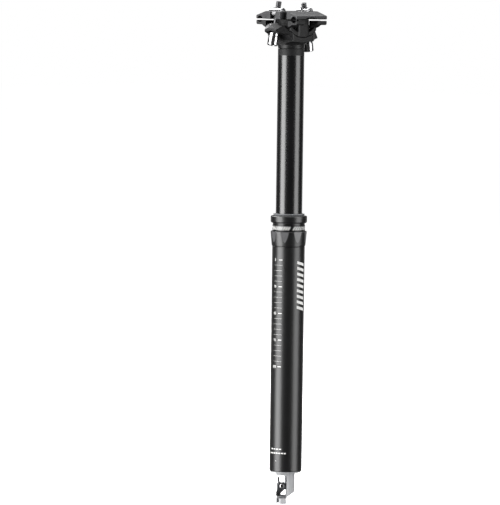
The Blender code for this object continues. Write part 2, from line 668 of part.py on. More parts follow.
def clamp_head():
    head = add_piece("clamp_head", side_mesh("clamp_head", head_profile(), 16.5), FORGED_BLACK)
    plan = rounded([(-31.0, 6.2), (-27.0, 8.6), (-14.0, BODY_HALF_Y), (13.0, BODY_HALF_Y), (23.0, 9.6),
                    (29.0, 7.6), (29.0, -7.6), (23.0, -9.6), (13.0, -BODY_HALF_Y), (-14.0, -BODY_HALF_Y),
                    (-27.0, -8.6), (-31.0, -6.2)], 2.4)
    plan_mesh = outline_mesh("head_plan", plan, 30)
    plan_mesh.transform(Matrix.Translation((0, 0, 200 * MM)))
    keep(head, add_tool("head_plan", plan_mesh))
    funnel = [(0, 230), (34, 230), (34, 199.0), (29.6, 195.8), (19.0, 194.0), (15.2, 193.0),
              (13.3, 191.0), (12.5, 188.6), (12.5, 186), (0, 186)]
    keep(head, spun_tool("head_funnel", funnel, SMOOTH))
    for side in (-1, 1):
        normal = Vector((-0.6, 0.3 * side, 0.66)).normalized()
        facet = add_tool(f"shoulder_facet_{side}", box_mesh("shoulder_facet", (-20, -20, 0), (20, 20, 12)))
        facet.rotation_mode = "QUATERNION"
        facet.rotation_quaternion = normal.to_track_quat("Z", "Y")
        facet.location = Vector((-24.4, 0, 212.9)) * MM
        cut(head, facet)
    spigot = [(0, HEAD_FOOT_Z + 2), (12.4, HEAD_FOOT_Z + 2), (12.4, HEAD_FOOT_Z + 0.01),
              (SPIGOT_R, HEAD_FOOT_Z + 0.01), (SPIGOT_R, SPIGOT_Z + 0.5), (SPIGOT_R - 0.5, SPIGOT_Z),
              (0, SPIGOT_Z)]
    join(head, spun_tool("spigot", spigot))
    for name, radius, low, high in (("spigot_bore", SPIGOT_BORE_R, SPIGOT_Z - 2, FLOOR_LOW_Z),
                                    ("stud_hole", STUD_R + GAP, FLOOR_LOW_Z - 2, FLOOR_HIGH_Z + 2),
                                    ("nut_pocket", POCKET_R, FLOOR_HIGH_Z, TILT_Z)):
        cut(head, add_tool(name, rod_mesh(name, radius, low, high, MEDIUM)))
    for name, swing, lean, half in (("rear", REAR_SWING, REAR_LEAN, 3.8),
                                    ("front", FRONT_SWING, FRONT_LEAN, 4.2)):
        hole_mesh = outline_mesh(f"{name}_ear_hole", stadium(half, 3.3), 18)
        hole_mesh.transform(lean_matrix(swing, lean))
        cut(head, add_tool(f"{name}_ear_hole", hole_mesh))
        cut(head, washer_seat(swing, lean, name))


def washer_seat(swing, lean, name):
    """The lower cap of a ball about the swing point, where the domed washer bears."""
    top = -EAR_BELOW + 1.4
    radius = DOME_R + GAP
    start = math.degrees(math.asin(top / radius))
    cap = [(0, top)] + [(radius * math.cos(math.radians(a)), radius * math.sin(math.radians(a)))
                        for a in (start + (-90 - start) * i / 10 for i in range(10))] + [(0, -radius)]
    tool = spun_tool(f"{name}_washer_seat", cap, SMALL)
    tool.matrix_world = lean_matrix(swing, lean)
    return tool


# ---------------------------------------------------------------- saddle clamp
def rail_groove(name, side, shift):
    mesh = rod_mesh(name, RAIL_R, -30, 30, MEDIUM)
    mesh.transform(Matrix.Translation((0, side * RAIL_Y * MM, (RAIL_Z + shift) * MM))
                   @ Matrix.Rotation(math.radians(90), 4, "Y"))
    return add_tool(name, mesh)


def lower_cradle():
    """Four rail ears on a bowl that rocks in the head."""
    inner = CRADLE_R - 3.6
    top = SLIT_LOW_Z - TILT_Z - 0.4
    start = math.degrees(math.asin(top / CRADLE_R))
    end = math.degrees(math.asin(top / inner))
    outer_arc = arc(0, 0, CRADLE_R, 180 - start, 360 + start, 32)
    inner_arc = arc(0, 0, inner, 360 + end, 180 - end, 24)
    bowl = side_mesh("lower_cradle", outer_arc + inner_arc, BODY_HALF_Y)
    cradle = add_piece("lower_cradle", bowl, FORGED_BLACK)
    place(cradle, (0, 0, TILT_Z))
    limit = spun_side_tool("cradle_limit", CRADLE_R - 0.25)
    trim = box_mesh("cradle_trim", (-BOWL_HALF_X, -40, -60), (BOWL_HALF_X, 40, 60))
    keep(cradle, place(add_tool("cradle_trim", trim), (0, 0, TILT_Z)))
    hub_x, hub_y = HUB_HALF_X, BODY_HALF_Y + 0.3
    hub_plan = rounded([(-hub_x, -hub_y), (hub_x, -hub_y), (hub_x, hub_y), (-hub_x, hub_y)], 3.0)
    hub = outline_mesh("cradle_hub", hub_plan, HUB_HALF_TALL)
    hub_tool = place(add_tool("cradle_hub", hub), (0, 0, HUB_TOP_Z - HUB_HALF_TALL))
    keep(hub_tool, limit)
    join(cradle, hub_tool)
    for side in (-1, 1):
        for end_side in (-1, 1):
            name = f"ear_{'rear' if end_side < 0 else 'front'}_{'right' if side < 0 else 'left'}"
            xs = sorted((end_side * EAR_IN_X, end_side * CLAMP_HALF_X))
            section = [(side * EAR_IN_Y, SLIT_LOW_Z), (side * (CLAMP_HALF_Y - 0.3), SLIT_LOW_Z),
                       (side * (CLAMP_HALF_Y - 0.3), 211.0), (side * (CLAMP_HALF_Y - 1.2), 210.0),
                       (side * 19.0, 209.8), (side * 16.5, 208.0), (side * EAR_IN_Y, 206.6)]
            if side < 0:
                section.reverse()
            mesh = end_mesh(name, section, (xs[1] - xs[0]) / 2)
            ear = add_tool(name, mesh)
            ear.location = ((xs[0] + xs[1]) / 2 * MM, 0, 0)
            keep(ear, limit)
            join(cradle, ear)
    for side in (-1, 1):
        cut(cradle, rail_groove(f"lower_groove_{side}", side, RAIL_BITE))
    for end_side in (-1, 1):
        xs = sorted((end_side * 12.0, end_side * 40.0))
        slot = box_mesh("cradle_slot", (xs[0], -SLOT_HALF_Y, 190), (xs[1], SLOT_HALF_Y, 230))
        cut(cradle, add_tool(f"cradle_slot_{end_side}", slot))


def spun_side_tool(name, radius):
    """A round limit about the rocking axis that no clamp piece leaves."""
    mesh = rod_mesh(name, radius, -40, 40, 96)
    mesh.transform(Matrix.Rotation(math.radians(90), 4, "X"))
    return place(add_tool(name, mesh), (0, 0, TILT_Z))


def upper_clamp():
    """A ribbed plate with forked ends; the barrel nuts lie in its two troughs."""
    half = [(CLAMP_HALF_Y, SLIT_HIGH_Z), (CLAMP_HALF_Y, PLATE_EDGE_Z), (PLATE_FLAT_Y, PLATE_TOP_Z)]
    section = rounded(half + [(-y, z) for y, z in reversed(half)], 1.2, 3)
    clamp = add_piece("upper_clamp", end_mesh("upper_clamp", section, PRONG_X + 1), SATIN_GREY)
    corner = CLAMP_HALF_X
    quarter = [(NOTCH_X, PRONG_Y + 1.6), (NOTCH_X, PRONG_Y), (PRONG_X, PRONG_Y)]
    ear = [(corner, CLAMP_HALF_Y + 2), (corner, PRONG_Y + 2.6)]
    right = ear + quarter
    plan = (right + [(x, -y) for x, y in reversed(right)]
            + [(-x, -y) for x, y in right] + [(-x, y) for x, y in reversed(right)])
    plan_mesh = outline_mesh("clamp_plan", rounded(plan, 1.2, 3), 20)
    keep(clamp, place(add_tool("clamp_plan", plan_mesh), (0, 0, 220)))
    for side in (-1, 1):
        cut(clamp, rail_groove(f"upper_groove_{side}", side, -RAIL_BITE))
    arch_mesh = rod_mesh("clamp_arch", ARCH_R, -40, 40, 96)
    arch_mesh.transform(Matrix.Rotation(math.radians(90), 4, "X"))
    cut(clamp, place(add_tool("clamp_arch", arch_mesh), (0, 0, ARCH_TOP_Z - ARCH_R)))
    for end_side, lean, swing in ((-1, REAR_LEAN, REAR_SWING), (1, FRONT_LEAN, FRONT_SWING)):
        xs = sorted((end_side * CLAMP_SLOT_X, end_side * 40.0))
        slot = box_mesh("clamp_slot", (xs[0], -SLOT_HALF_Y, 200), (xs[1], SLOT_HALF_Y, 240))
        cut(clamp, add_tool(f"clamp_slot_{end_side}", slot))
        reach = BARREL_NUT_HALF + GAP
        trough_mesh = rod_mesh("nut_trough", BARREL_NUT_R + GAP, -reach, reach, MEDIUM)
        trough_mesh.transform(Matrix.Rotation(math.radians(90), 4, "X"))
        x = nut_x(swing, lean)
        trough = add_tool(f"nut_trough_{end_side}", trough_mesh)
        cut(clamp, place(trough, (x, 0, BARREL_NUT_Z)))


def nut_x(swing, lean):
    """Where the bolt's axis passes the barrel nut's height."""
    return swing[0] + (BARREL_NUT_Z - swing[1]) * math.tan(math.radians(lean))


# ---------------------------------------------------------------- clamp bolts, washers and barrel nuts
def clamp_bolt(name, swing, lean, tip):
    profile = [(0, tip), (BOLT_R - 0.5, tip), (BOLT_R, tip - 0.5), (BOLT_R, -HEAD_TOP),
               (BOLT_HEAD_R - 0.3, -HEAD_TOP), (BOLT_HEAD_R, -HEAD_TOP - 0.3),
               (BOLT_HEAD_R, -HEAD_END + 0.5), (BOLT_HEAD_R - 0.5, -HEAD_END), (0, -HEAD_END)]
    bolt = turned(f"{name}_bolt", profile, CHROME, BOLT_SIDES)
    place(bolt, (swing[0], 0, swing[1]), (0, lean, 0))
    socket = add_tool(f"{name}_socket", rod_mesh("hex_socket", HEX_R, -HEAD_END - 2, -HEAD_END + 4.5, 6))
    cut(bolt, place(socket, (swing[0], 0, swing[1]), (0, lean, 0)))
    dome = []
    for i in range(5):
        radius = BOLT_R + 0.4 + (WASHER_R - BOLT_R - 0.4) * i / 4
        dome.append((radius, -math.sqrt(DOME_R ** 2 - radius ** 2)))
    profile = dome + [(WASHER_R, -WASHER_FOOT), (BOLT_R + 0.4, -WASHER_FOOT)]
    washer = turned(f"{name}_washer", profile, CHROME, BOLT_SIDES)
    place(washer, (swing[0], 0, swing[1]), (0, lean, 0))


def barrel_nut(name, swing, lean):
    mesh = rod_mesh(f"{name}_barrel_nut", BARREL_NUT_R, -BARREL_NUT_HALF, BARREL_NUT_HALF, MEDIUM)
    mesh.transform(Matrix.Rotation(math.radians(90), 4, "X"))
    nut = add_piece(f"{name}_barrel_nut", mesh, CHROME)
    spot = (nut_x(swing, lean), 0, BARREL_NUT_Z)
    place(nut, spot, (0, lean, 0))
    bore = add_tool(f"{name}_nut_bore", rod_mesh("nut_bore", BARREL_NUT_BORE_R, -9, 9, SMALL))
    cut(nut, place(bore, spot, (0, lean, 0)))
    smooth(nut)


outer_tube()
collar_nut()
collar_rings()
stanchion()
cartridge()
actuator_housing()
housing_ring()
pivot_pin()
lever()
cable_barrel()
release_pin()
clamp_head()
lower_cradle()
upper_clamp()
for which, point, angle, end in (("rear", REAR_SWING, REAR_LEAN, REAR_TIP),
                                 ("front", FRONT_SWING, FRONT_LEAN, FRONT_TIP)):
    clamp_bolt(which, point, angle, end)
    barrel_nut(which, point, angle)
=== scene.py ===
# %% [markdown]
# # A dropper seatpost, part by part
# A dropper seatpost is a telescopic tube for a mountain bicycle. A polished inner tube carries the
# saddle clamp and slides in a blasted outer tube, which the bicycle's frame holds. This lesson builds
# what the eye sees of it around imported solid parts, whose sizes and joints are already settled.
# Everything here is in metres, with Z up along the post and X towards the front of the bicycle.

import json
import math

import bmesh
import bpy
from mathutils import Matrix, Vector


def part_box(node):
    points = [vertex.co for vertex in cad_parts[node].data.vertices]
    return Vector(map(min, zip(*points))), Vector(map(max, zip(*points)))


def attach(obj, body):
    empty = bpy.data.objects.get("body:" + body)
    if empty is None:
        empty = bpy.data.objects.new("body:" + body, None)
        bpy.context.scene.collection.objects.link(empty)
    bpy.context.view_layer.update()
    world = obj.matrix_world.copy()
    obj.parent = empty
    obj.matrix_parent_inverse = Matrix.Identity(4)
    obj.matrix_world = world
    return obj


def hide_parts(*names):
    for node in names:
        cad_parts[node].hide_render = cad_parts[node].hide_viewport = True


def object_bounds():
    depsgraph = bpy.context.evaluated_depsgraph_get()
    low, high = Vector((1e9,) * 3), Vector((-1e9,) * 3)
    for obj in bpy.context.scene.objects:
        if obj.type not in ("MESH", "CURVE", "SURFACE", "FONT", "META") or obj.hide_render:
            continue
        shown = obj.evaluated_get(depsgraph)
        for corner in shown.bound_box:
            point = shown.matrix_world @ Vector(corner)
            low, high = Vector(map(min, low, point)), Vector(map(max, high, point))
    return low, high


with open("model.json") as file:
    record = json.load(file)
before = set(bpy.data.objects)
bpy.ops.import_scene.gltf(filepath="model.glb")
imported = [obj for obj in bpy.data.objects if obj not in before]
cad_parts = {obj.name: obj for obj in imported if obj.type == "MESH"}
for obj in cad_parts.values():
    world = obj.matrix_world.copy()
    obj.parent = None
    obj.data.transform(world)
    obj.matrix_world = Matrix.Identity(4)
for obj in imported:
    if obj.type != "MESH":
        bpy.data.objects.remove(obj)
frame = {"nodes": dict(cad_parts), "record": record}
nodes = frame["nodes"]
cad_low, cad_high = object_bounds()
MM = 0.001
print(f"{len(nodes)} packed parts, {(cad_high.z - cad_low.z) / MM:.1f} mm tall")

# %% [markdown]
# ## Colours and nodes
# Colours are chosen as they look on a screen, in sRGB hex. Blender's shaders work in linear light, so
# one function converts them. A second small function adds any shader node, with its settings and
# links, which keeps every material below to a few readable lines.


# %% Colour and node helpers
def colour(hex_code):
    """An sRGB hex colour such as #1b1b1d as linear red, green, blue and alpha."""
    parts = [int(hex_code[i:i + 2], 16) / 255 for i in (1, 3, 5)]
    linear = [c / 12.92 if c <= 0.04045 else ((c + 0.055) / 1.055) ** 2.4 for c in parts]
    return (*linear, 1.0)


def add_node(tree, kind, settings):
    """Adds one node. A setting named or numbered like an input goes to that input, as a value or as a
    link when it is another node's output. Any other setting belongs to the node itself."""
    made = tree.nodes.new(kind)
    for key, value in settings.items():
        if isinstance(value, bpy.types.NodeSocket):
            tree.links.new(value, made.inputs[key])
        elif isinstance(key, int) or key in made.inputs:
            made.inputs[key].default_value = value
        else:
            setattr(made, key, value)
    return made


def new_material(name, base, metallic, roughness, gloss_index=1.5):
    """A Principled material with object coordinates ready to use. A film over the metal, such as an
    anodised layer, is not metallic itself and mirrors more the higher its index."""
    material = bpy.data.materials.new(name)
    material.use_nodes = True
    tree = material.node_tree
    shader = tree.nodes["Principled BSDF"]
    shader.inputs["Base Color"].default_value = colour(base)
    shader.inputs["Metallic"].default_value = metallic
    shader.inputs["Roughness"].default_value = roughness
    shader.inputs["IOR"].default_value = gloss_index
    place = add_node(tree, "ShaderNodeTexCoord", {}).outputs["Object"]
    return material, tree, shader, place


print("white is", [round(c, 3) for c in colour("#ffffff")])

# %% [markdown]
# ## Shared surface effects
# Every finish here is a grain, a slight change of tone and a little wear on its edges. Grain sizes are
# real lengths: a noise whose features are 0.4 mm across has a scale of one over 0.0004 m. Grain finer
# than about 0.3 mm would vanish in a view of the whole post, so it is drawn that coarse.


# %% Grain, tone and wear
def per_metre(size_mm):
    return 1.0 / (size_mm * MM)


def grain(tree, place, size_mm, stretch=(1, 1, 1), detail=3.0):
    """Noise whose features are size_mm across, divided by stretch along each axis."""
    scaled = add_node(tree, "ShaderNodeMapping", {"Scale": stretch, "Vector": place})
    noise = add_node(tree, "ShaderNodeTexNoise", {"Scale": per_metre(size_mm), "Detail": detail,
                                                  "Vector": scaled.outputs["Vector"]})
    return noise.outputs["Fac"]


def tones(tree, pattern, first, second, share=1.0):
    """Two hex colours that follow a pattern, up to a share of the second."""
    level = add_node(tree, "ShaderNodeMapRange", {"Value": pattern, "From Min": 0.3, "From Max": 0.7,
                                                  "To Max": share}).outputs["Result"]
    return add_node(tree, "ShaderNodeMix", {"data_type": "RGBA", 0: level, 6: colour(first),
                                            7: colour(second)}).outputs[2]


def worn_edges(tree, skin, bright, strength):
    """The skin with its edges rubbed towards a brighter hex colour, found from the mesh's own
    curvature."""
    point = add_node(tree, "ShaderNodeNewGeometry", {}).outputs["Pointiness"]
    worn = add_node(tree, "ShaderNodeMapRange", {"Value": point, "From Min": 0.53, "From Max": 0.68,
                                                 "To Max": strength}).outputs["Result"]
    return add_node(tree, "ShaderNodeMix", {"data_type": "RGBA", 0: worn, 6: skin,
                                            7: colour(bright)}).outputs[2]


def gloss_follows(tree, shader, pattern, low, high):
    """Lets the roughness run from low to high with a pattern."""
    level = add_node(tree, "ShaderNodeMapRange", {"Value": pattern, "From Min": 0.3, "From Max": 0.7,
                                                  "To Min": low, "To Max": high})
    tree.links.new(level.outputs["Result"], shader.inputs["Roughness"])


def emboss(tree, shader, height, depth_mm, strength):
    """Raises the surface by height times depth_mm, shown at the given strength."""
    bump = add_node(tree, "ShaderNodeBump", {"Height": height, "Distance": depth_mm * MM,
                                             "Strength": strength})
    tree.links.new(bump.outputs["Normal"], shader.inputs["Normal"])


print("0.4 mm grain has a scale of", round(per_metre(0.4)))

# %% [markdown]
# ## Black anodised finishes
# The outer tube and collar nut are aluminium, bead-blasted and then black anodised. The blasting leaves
# tiny dimples that scatter light, so highlights are wide and dull. The inner tube is ground and polished
# before hard anodising, so its highlights are bright streaks, and fine rings from the grinding wheel run
# round it. The forged clamp parts have a soft skin from the die, which a tumbling bath has smoothed. One
# black for all would run them together, so each way of finishing has its own material.


# %% Black anodised materials
# An anodised film mirrors more the harder and smoother it is. Bulk aluminium oxide has an index of 1.76.
HARD_ANODISED_INDEX = 1.76
ANODISED_INDEX = 1.62
TUMBLED_INDEX = 1.4
# Where the blasted band at the top of the inner tube starts, in metres.
MATT_BAND_Z = 0.181


def blasted_anodising(name):
    """Bead-blasted, black anodised aluminium: an even, dry black with wide soft highlights."""
    material, tree, shader, place = new_material(name, "#0e0e0f", 0.0, 0.4, ANODISED_INDEX)
    skin = tones(tree, grain(tree, place, 9.0), "#090909", "#0e0e0f")
    tree.links.new(worn_edges(tree, skin, "#3a3a3b", 0.4), shader.inputs["Base Color"])
    dimples = grain(tree, place, 0.45, detail=1.5)
    gloss_follows(tree, shader, dimples, 0.31, 0.38)
    emboss(tree, shader, dimples, 0.02, 0.5)
    return material, tree, shader, place


def polished_anodising():
    """Ground, polished and hard anodised aluminium: deep black with bright streaks along the tube.
    The top few millimetres are left blasted, where the head is bonded on."""
    material, tree, shader, place = new_material("polished_hard_anodised_aluminium", "#0a0a0b", 0.0, 0.22,
                                                 HARD_ANODISED_INDEX)
    height = add_node(tree, "ShaderNodeSeparateXYZ", {"Vector": place}).outputs["Z"]
    soft_line = 0.0002
    matt = add_node(tree, "ShaderNodeMapRange", {"Value": height, "From Min": MATT_BAND_Z - soft_line,
                                                 "From Max": MATT_BAND_Z + soft_line}).outputs["Result"]
    skin = add_node(tree, "ShaderNodeMix", {"data_type": "RGBA", 0: matt, 6: colour("#0a0a0b"),
                                            7: colour("#121213")})
    tree.links.new(skin.outputs[2], shader.inputs["Base Color"])
    rings = grain(tree, place, 0.5, (0.02, 0.02, 1.0), 2.0)
    gloss_follows(tree, shader, grain(tree, place, 14.0, (1, 1, 0.25)), 0.22, 0.27)
    shine = shader.inputs["Roughness"].links[0].from_socket
    rough = add_node(tree, "ShaderNodeMix", {0: matt, 2: shine, 3: 0.56}).outputs[0]
    tree.links.new(rough, shader.inputs["Roughness"])
    index = add_node(tree, "ShaderNodeMix", {0: matt, 2: HARD_ANODISED_INDEX, 3: TUMBLED_INDEX}).outputs[0]
    tree.links.new(index, shader.inputs["IOR"])
    emboss(tree, shader, rings, 0.004, 0.35)
    return material


def ring_anodising():
    """Turned and anodised collar parts, half way between the two tubes in gloss."""
    material, tree, shader, place = new_material("turned_satin_anodised_aluminium", "#0c0c0d", 0.0, 0.3,
                                                 ANODISED_INDEX)
    worn = worn_edges(tree, colour("#0d0d0e"), "#39393a", 0.4)
    tree.links.new(worn, shader.inputs["Base Color"])
    rings = grain(tree, place, 0.35, (0.03, 0.03, 1.0), 2.0)
    gloss_follows(tree, shader, rings, 0.27, 0.36)
    emboss(tree, shader, rings, 0.008, 0.5)
    return material


def forged_anodising(name, base, edge, roughness, gloss_index):
    """Forged and tumbled aluminium: slow waves from the die, and edges that the bath has brightened."""
    material, tree, shader, place = new_material(name, base, 0.0, roughness, gloss_index)
    skin = tones(tree, grain(tree, place, 6.0), base, edge, 0.5)
    tree.links.new(worn_edges(tree, skin, "#5a5a5c", 0.3), shader.inputs["Base Color"])
    skin_grain = grain(tree, place, 0.7)
    gloss_follows(tree, shader, skin_grain, roughness - 0.05, roughness + 0.07)
    emboss(tree, shader, skin_grain, 0.03, 0.45)
    return material


BLASTED = blasted_anodising("blasted_black_anodised_aluminium")[0]
POLISHED = polished_anodising()
COLLAR = ring_anodising()
FORGED = forged_anodising("forged_black_anodised_aluminium", "#101011", "#161617", 0.4, TUMBLED_INDEX)
print("black finishes:", BLASTED.name, POLISHED.name, COLLAR.name, FORGED.name)

# %% [markdown]
# ## Bare and plated metals
# The clamp's top plate is machined and then satin anodised in a lighter grey, so it shows the milling
# cutter's straight strokes. The actuator is cut from bar and clear anodised, which keeps the silver of
# the metal. Bolts and nuts are plated steel, smooth enough to mirror the studio lights. The milled parts
# could each have a material of their own, but only colour, gloss and the strokes' direction differ, so
# one function makes them all.


# %% Milled, plated and ground metals
def milled_metal(name, base, groove, roughness, strokes, metallic=1.0, edge="#d6d7d9"):
    """Machined metal: parallel cutter strokes that break the light into fine streaks. Strokes gives
    their direction, as a squeeze along each axis."""
    material, tree, shader, place = new_material(name, base, metallic, roughness)
    lines = grain(tree, place, 0.35, strokes, 2.0)
    skin = tones(tree, lines, groove, base)
    tree.links.new(worn_edges(tree, skin, edge, 0.3), shader.inputs["Base Color"])
    gloss_follows(tree, shader, lines, roughness + 0.06, roughness - 0.05)
    emboss(tree, shader, lines, 0.012, 0.5)
    return material


def plated_steel():
    """Nickel-plated steel: a bright mirror, slightly clouded by handling."""
    material, tree, shader, place = new_material("nickel_plated_steel", "#d9d9da", 1.0, 0.14)
    smudge = grain(tree, place, 3.0)
    gloss_follows(tree, shader, smudge, 0.14, 0.24)
    tree.links.new(tones(tree, smudge, "#dcdcdd", "#c4c4c6"), shader.inputs["Base Color"])
    emboss(tree, shader, grain(tree, place, 0.5), 0.003, 0.4)
    return material


def shaded_root_thread():
    """Steel threads with painted shade in their roots: bright crests over near-black grooves."""
    material, tree, shader, place = new_material("steel_thread_with_painted_root_shade", "#8d8d8f", 1.0, 0.28)
    point = add_node(tree, "ShaderNodeNewGeometry", {}).outputs["Pointiness"]
    crest = add_node(tree, "ShaderNodeMapRange", {"Value": point, "From Min": 0.47,
                                                  "From Max": 0.55}).outputs["Result"]
    # Painted shade: the grooves between the crests, found from the mesh's curvature, are coloured
    # near-black where they would lie in shade.
    painted_root_shade = tones(tree, grain(tree, place, 1.5), "#1d1c1b", "#383736")
    skin = add_node(tree, "ShaderNodeMix", {"data_type": "RGBA", 0: crest, 6: painted_root_shade, 7: colour("#6a6a6c")})
    tree.links.new(skin.outputs[2], shader.inputs["Base Color"])
    rough = add_node(tree, "ShaderNodeMapRange", {"Value": crest, "To Min": 0.5, "To Max": 0.25})
    tree.links.new(rough.outputs["Result"], shader.inputs["Roughness"])
    emboss(tree, shader, grain(tree, place, 0.3), 0.004, 0.4)
    return material


# Dyed grey, so the film hides most of the metal: a dull plate with pale edges.
PLATE = milled_metal("milled_satin_grey_aluminium", "#303032", "#29292b", 0.42, (0.06, 1, 1), 0.15,
                     "#8a8a8c")
# A clear film over bare aluminium: an even pale silver that hardly mirrors anything.
SILVER = milled_metal("machined_clear_anodised_aluminium", "#adaeb0", "#a2a3a5", 0.5, (1, 1, 0.06), 0.05)
# Bare and fairly bright, for pins and rods.
STEEL = milled_metal("ground_steel", "#a8a9ab", "#8f9092", 0.26, (0.1, 1, 1))
# A thick film that has gone dark grey by itself: darker than the housing, but lighter than the tubes.
LEVER = milled_metal("hard_anodised_dark_grey_aluminium", "#3c3d3f", "#333436", 0.38, (1, 1, 0.2), 0.2,
                     "#6a6b6d")
# Warm and satin, the only colour in the post.
BRASS = milled_metal("machined_brass", "#b58d46", "#9a7738", 0.3, (1, 1, 0.1))
PLATED = plated_steel()
THREAD = shaded_root_thread()
print("metals:", ", ".join(m.name for m in (PLATE, SILVER, STEEL, LEVER, BRASS, PLATED, THREAD)))

# %% [markdown]
# ## Rubber, polymer and ink
# The wiper at the top of the collar is a grey moulded seal. Bushings are a filled bearing polymer. The
# graduations are pad-printed: a thin film of white ink that lies on the blasted skin. All four are soft
# solids with a fine grain and no metal in them, so they share one function too.


# %% Seals, bushings and print
def moulded(name, base, spot, roughness, grain_mm, depth_mm):
    """A moulded polymer: a fine even grain from the mould, with a slight bloom."""
    material, tree, shader, place = new_material(name, base, 0.0, roughness)
    bloom = tones(tree, grain(tree, place, 4.0), base, spot, 0.8)
    tree.links.new(bloom, shader.inputs["Base Color"])
    texture = grain(tree, place, grain_mm)
    gloss_follows(tree, shader, texture, roughness - 0.06, roughness + 0.06)
    emboss(tree, shader, texture, depth_mm, 0.5)
    return material


# Seals are matt, the wiper a grey one. The bearing polymer and the ink have a slight sheen.
RUBBER = moulded("moulded_black_rubber", "#1d1d1d", "#262626", 0.72, 0.4, 0.02)
WIPER = moulded("moulded_grey_wiper_seal", "#5e5f61", "#68696b", 0.55, 0.4, 0.015)
BUSHING = moulded("filled_bearing_polymer", "#46494d", "#3b3d40", 0.5, 0.5, 0.02)
INK = moulded("pad_printed_white_ink", "#e6e6e4", "#d6d6d4", 0.5, 0.3, 0.004)
print("polymers:", RUBBER.name, WIPER.name, BUSHING.name, INK.name)

# %% [markdown]
# ## Turning on a lathe
# Most of the post is turned, so the most useful tool is a lathe: it takes a half outline as (radius,
# height) points in millimetres and carries it round the axis. Real turned parts have no knife edges, so
# the outline's corners are rounded first. A shaping function may then pull the wall in by angle and
# height, which gives milled flats, keyways and screw threads without any Boolean.


# %% Outline and lathe helpers
SHARP_ANGLE = math.radians(40)


def rounded(outline, radius, steps=3, closed=False):
    """The outline with each inner corner rounded off."""
    points = [Vector(p) for p in outline]
    result = []
    for i, here in enumerate(points):
        if not closed and i in (0, len(points) - 1):
            result.append(tuple(here))
            continue
        back = points[i - 1] - here
        ahead = points[(i + 1) % len(points)] - here
        reach = min(radius, back.length * 0.45, ahead.length * 0.45)
        first = here + back.normalized() * reach
        last = here + ahead.normalized() * reach
        for k in range(steps + 1):
            t = k / steps
            result.append(tuple(first.lerp(here, t).lerp(here.lerp(last, t), t)))
    return result


def refined(outline, step):
    """The outline with extra points, so that none are further than step apart."""
    result = []
    for first, last in zip(outline, outline[1:]):
        a, b = Vector(first), Vector(last)
        count = max(1, math.ceil((b - a).length / step))
        result += [tuple(a.lerp(b, i / count)) for i in range(count)]
    return result + [tuple(outline[-1])]


def add_piece(name, mesh, material, body):
    """Puts a mesh in the scene as a named piece that rides on a body."""
    piece = bpy.data.objects.new(name, mesh)
    bpy.context.scene.collection.objects.link(piece)
    mesh.materials.clear()
    mesh.materials.append(material)
    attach(piece, body)
    return piece


def lathe(name, outline, sides, shape=None, place=None, closed=True):
    """A turned mesh. The outline runs down the outside and back up the bore, or from axis to axis."""
    shaped = bmesh.new()
    rings = []
    for radius, height in outline:
        if radius < 0.001:
            rings.append([shaped.verts.new((0, 0, height * MM))])
            continue
        ring = []
        for i in range(sides):
            angle = 2 * math.pi * i / sides
            r, z = shape(radius, height, angle) if shape else (radius, height)
            ring.append(shaped.verts.new((r * MM * math.cos(angle), r * MM * math.sin(angle), z * MM)))
        rings.append(ring)
    pairs = list(zip(rings, rings[1:]))
    if closed and len(rings[0]) > 1:
        pairs.append((rings[-1], rings[0]))
    for upper, lower in pairs:
        for i in range(sides):
            j = (i + 1) % sides
            corners = [upper[i % len(upper)], lower[i % len(lower)],
                       lower[j % len(lower)], upper[j % len(upper)]]
            shaped.faces.new(list(dict.fromkeys(corners)))
    bmesh.ops.recalc_face_normals(shaped, faces=shaped.faces)
    mesh = bpy.data.meshes.new(name)
    shaped.to_mesh(mesh)
    shaped.free()
    mesh.shade_smooth()
    mesh.set_sharp_from_angle(angle=SHARP_ANGLE)
    if place:
        mesh.transform(place)
    return mesh


def stand_for(piece, slot, *names):
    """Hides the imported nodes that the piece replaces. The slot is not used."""
    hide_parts(*names)


ROUND_SIDES = 192
print("a lathe ring has", ROUND_SIDES, "sides")

# %% [markdown]
# ## The outer tube
# This is drawn tubing, 30.9 mm across to fit a standard seat tube. Three keyways run up its bore and
# stop the inner tube from turning. Its lower rim is rounded so that it slips into the frame. It could be
# a plain cylinder with a Boolean bore, but one closed outline gives the wall, bore and rim together.


# %% Outer tube
def top_and_bottom(name):
    low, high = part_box(name)
    return low.z / MM, high.z / MM


def radius_of(name):
    low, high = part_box(name)
    return (high.y - low.y) / 2 / MM


TUBE_R = radius_of("outer_tube")
TUBE_LOW, TUBE_NECK_TOP = top_and_bottom("outer_tube")
TUBE_BORE_R = 13.6
NECK_R = 14.3
SHOULDER_Z = -0.3
KEYWAY_R = 14.5
KEYWAY_HALF = 1.45
KEYWAY_TOP = -16.2
KEY_COUNT = 3


def keyed_bore(radius, height, angle):
    """Deepens the bore where one of the keyways runs."""
    if radius > TUBE_BORE_R + 0.01 or height > KEYWAY_TOP:
        return radius, height
    turn = 2 * math.pi / KEY_COUNT
    off = abs((angle + turn / 2) % turn - turn / 2)
    return (KEYWAY_R if off < KEYWAY_HALF / KEYWAY_R else radius), height


outline = rounded([(NECK_R, TUBE_NECK_TOP), (NECK_R, SHOULDER_Z), (TUBE_R - 0.25, SHOULDER_Z),
                   (TUBE_R, SHOULDER_Z - 0.25), (TUBE_R, TUBE_LOW), (TUBE_BORE_R, TUBE_LOW)], 0.6, 5)
outline += [(TUBE_BORE_R, KEYWAY_TOP - 0.1), (TUBE_BORE_R, KEYWAY_TOP + 0.1),
            (TUBE_BORE_R, TUBE_NECK_TOP)]
tube = add_piece("outer_tube_shell", lathe("outer_tube_shell", outline, ROUND_SIDES, keyed_bore),
                 BLASTED, "lower_post")
stand_for(tube, "blasted_black", "outer_tube")
print(f"outer tube {2 * TUBE_R:.1f} mm across, {len(tube.data.polygons)} faces")

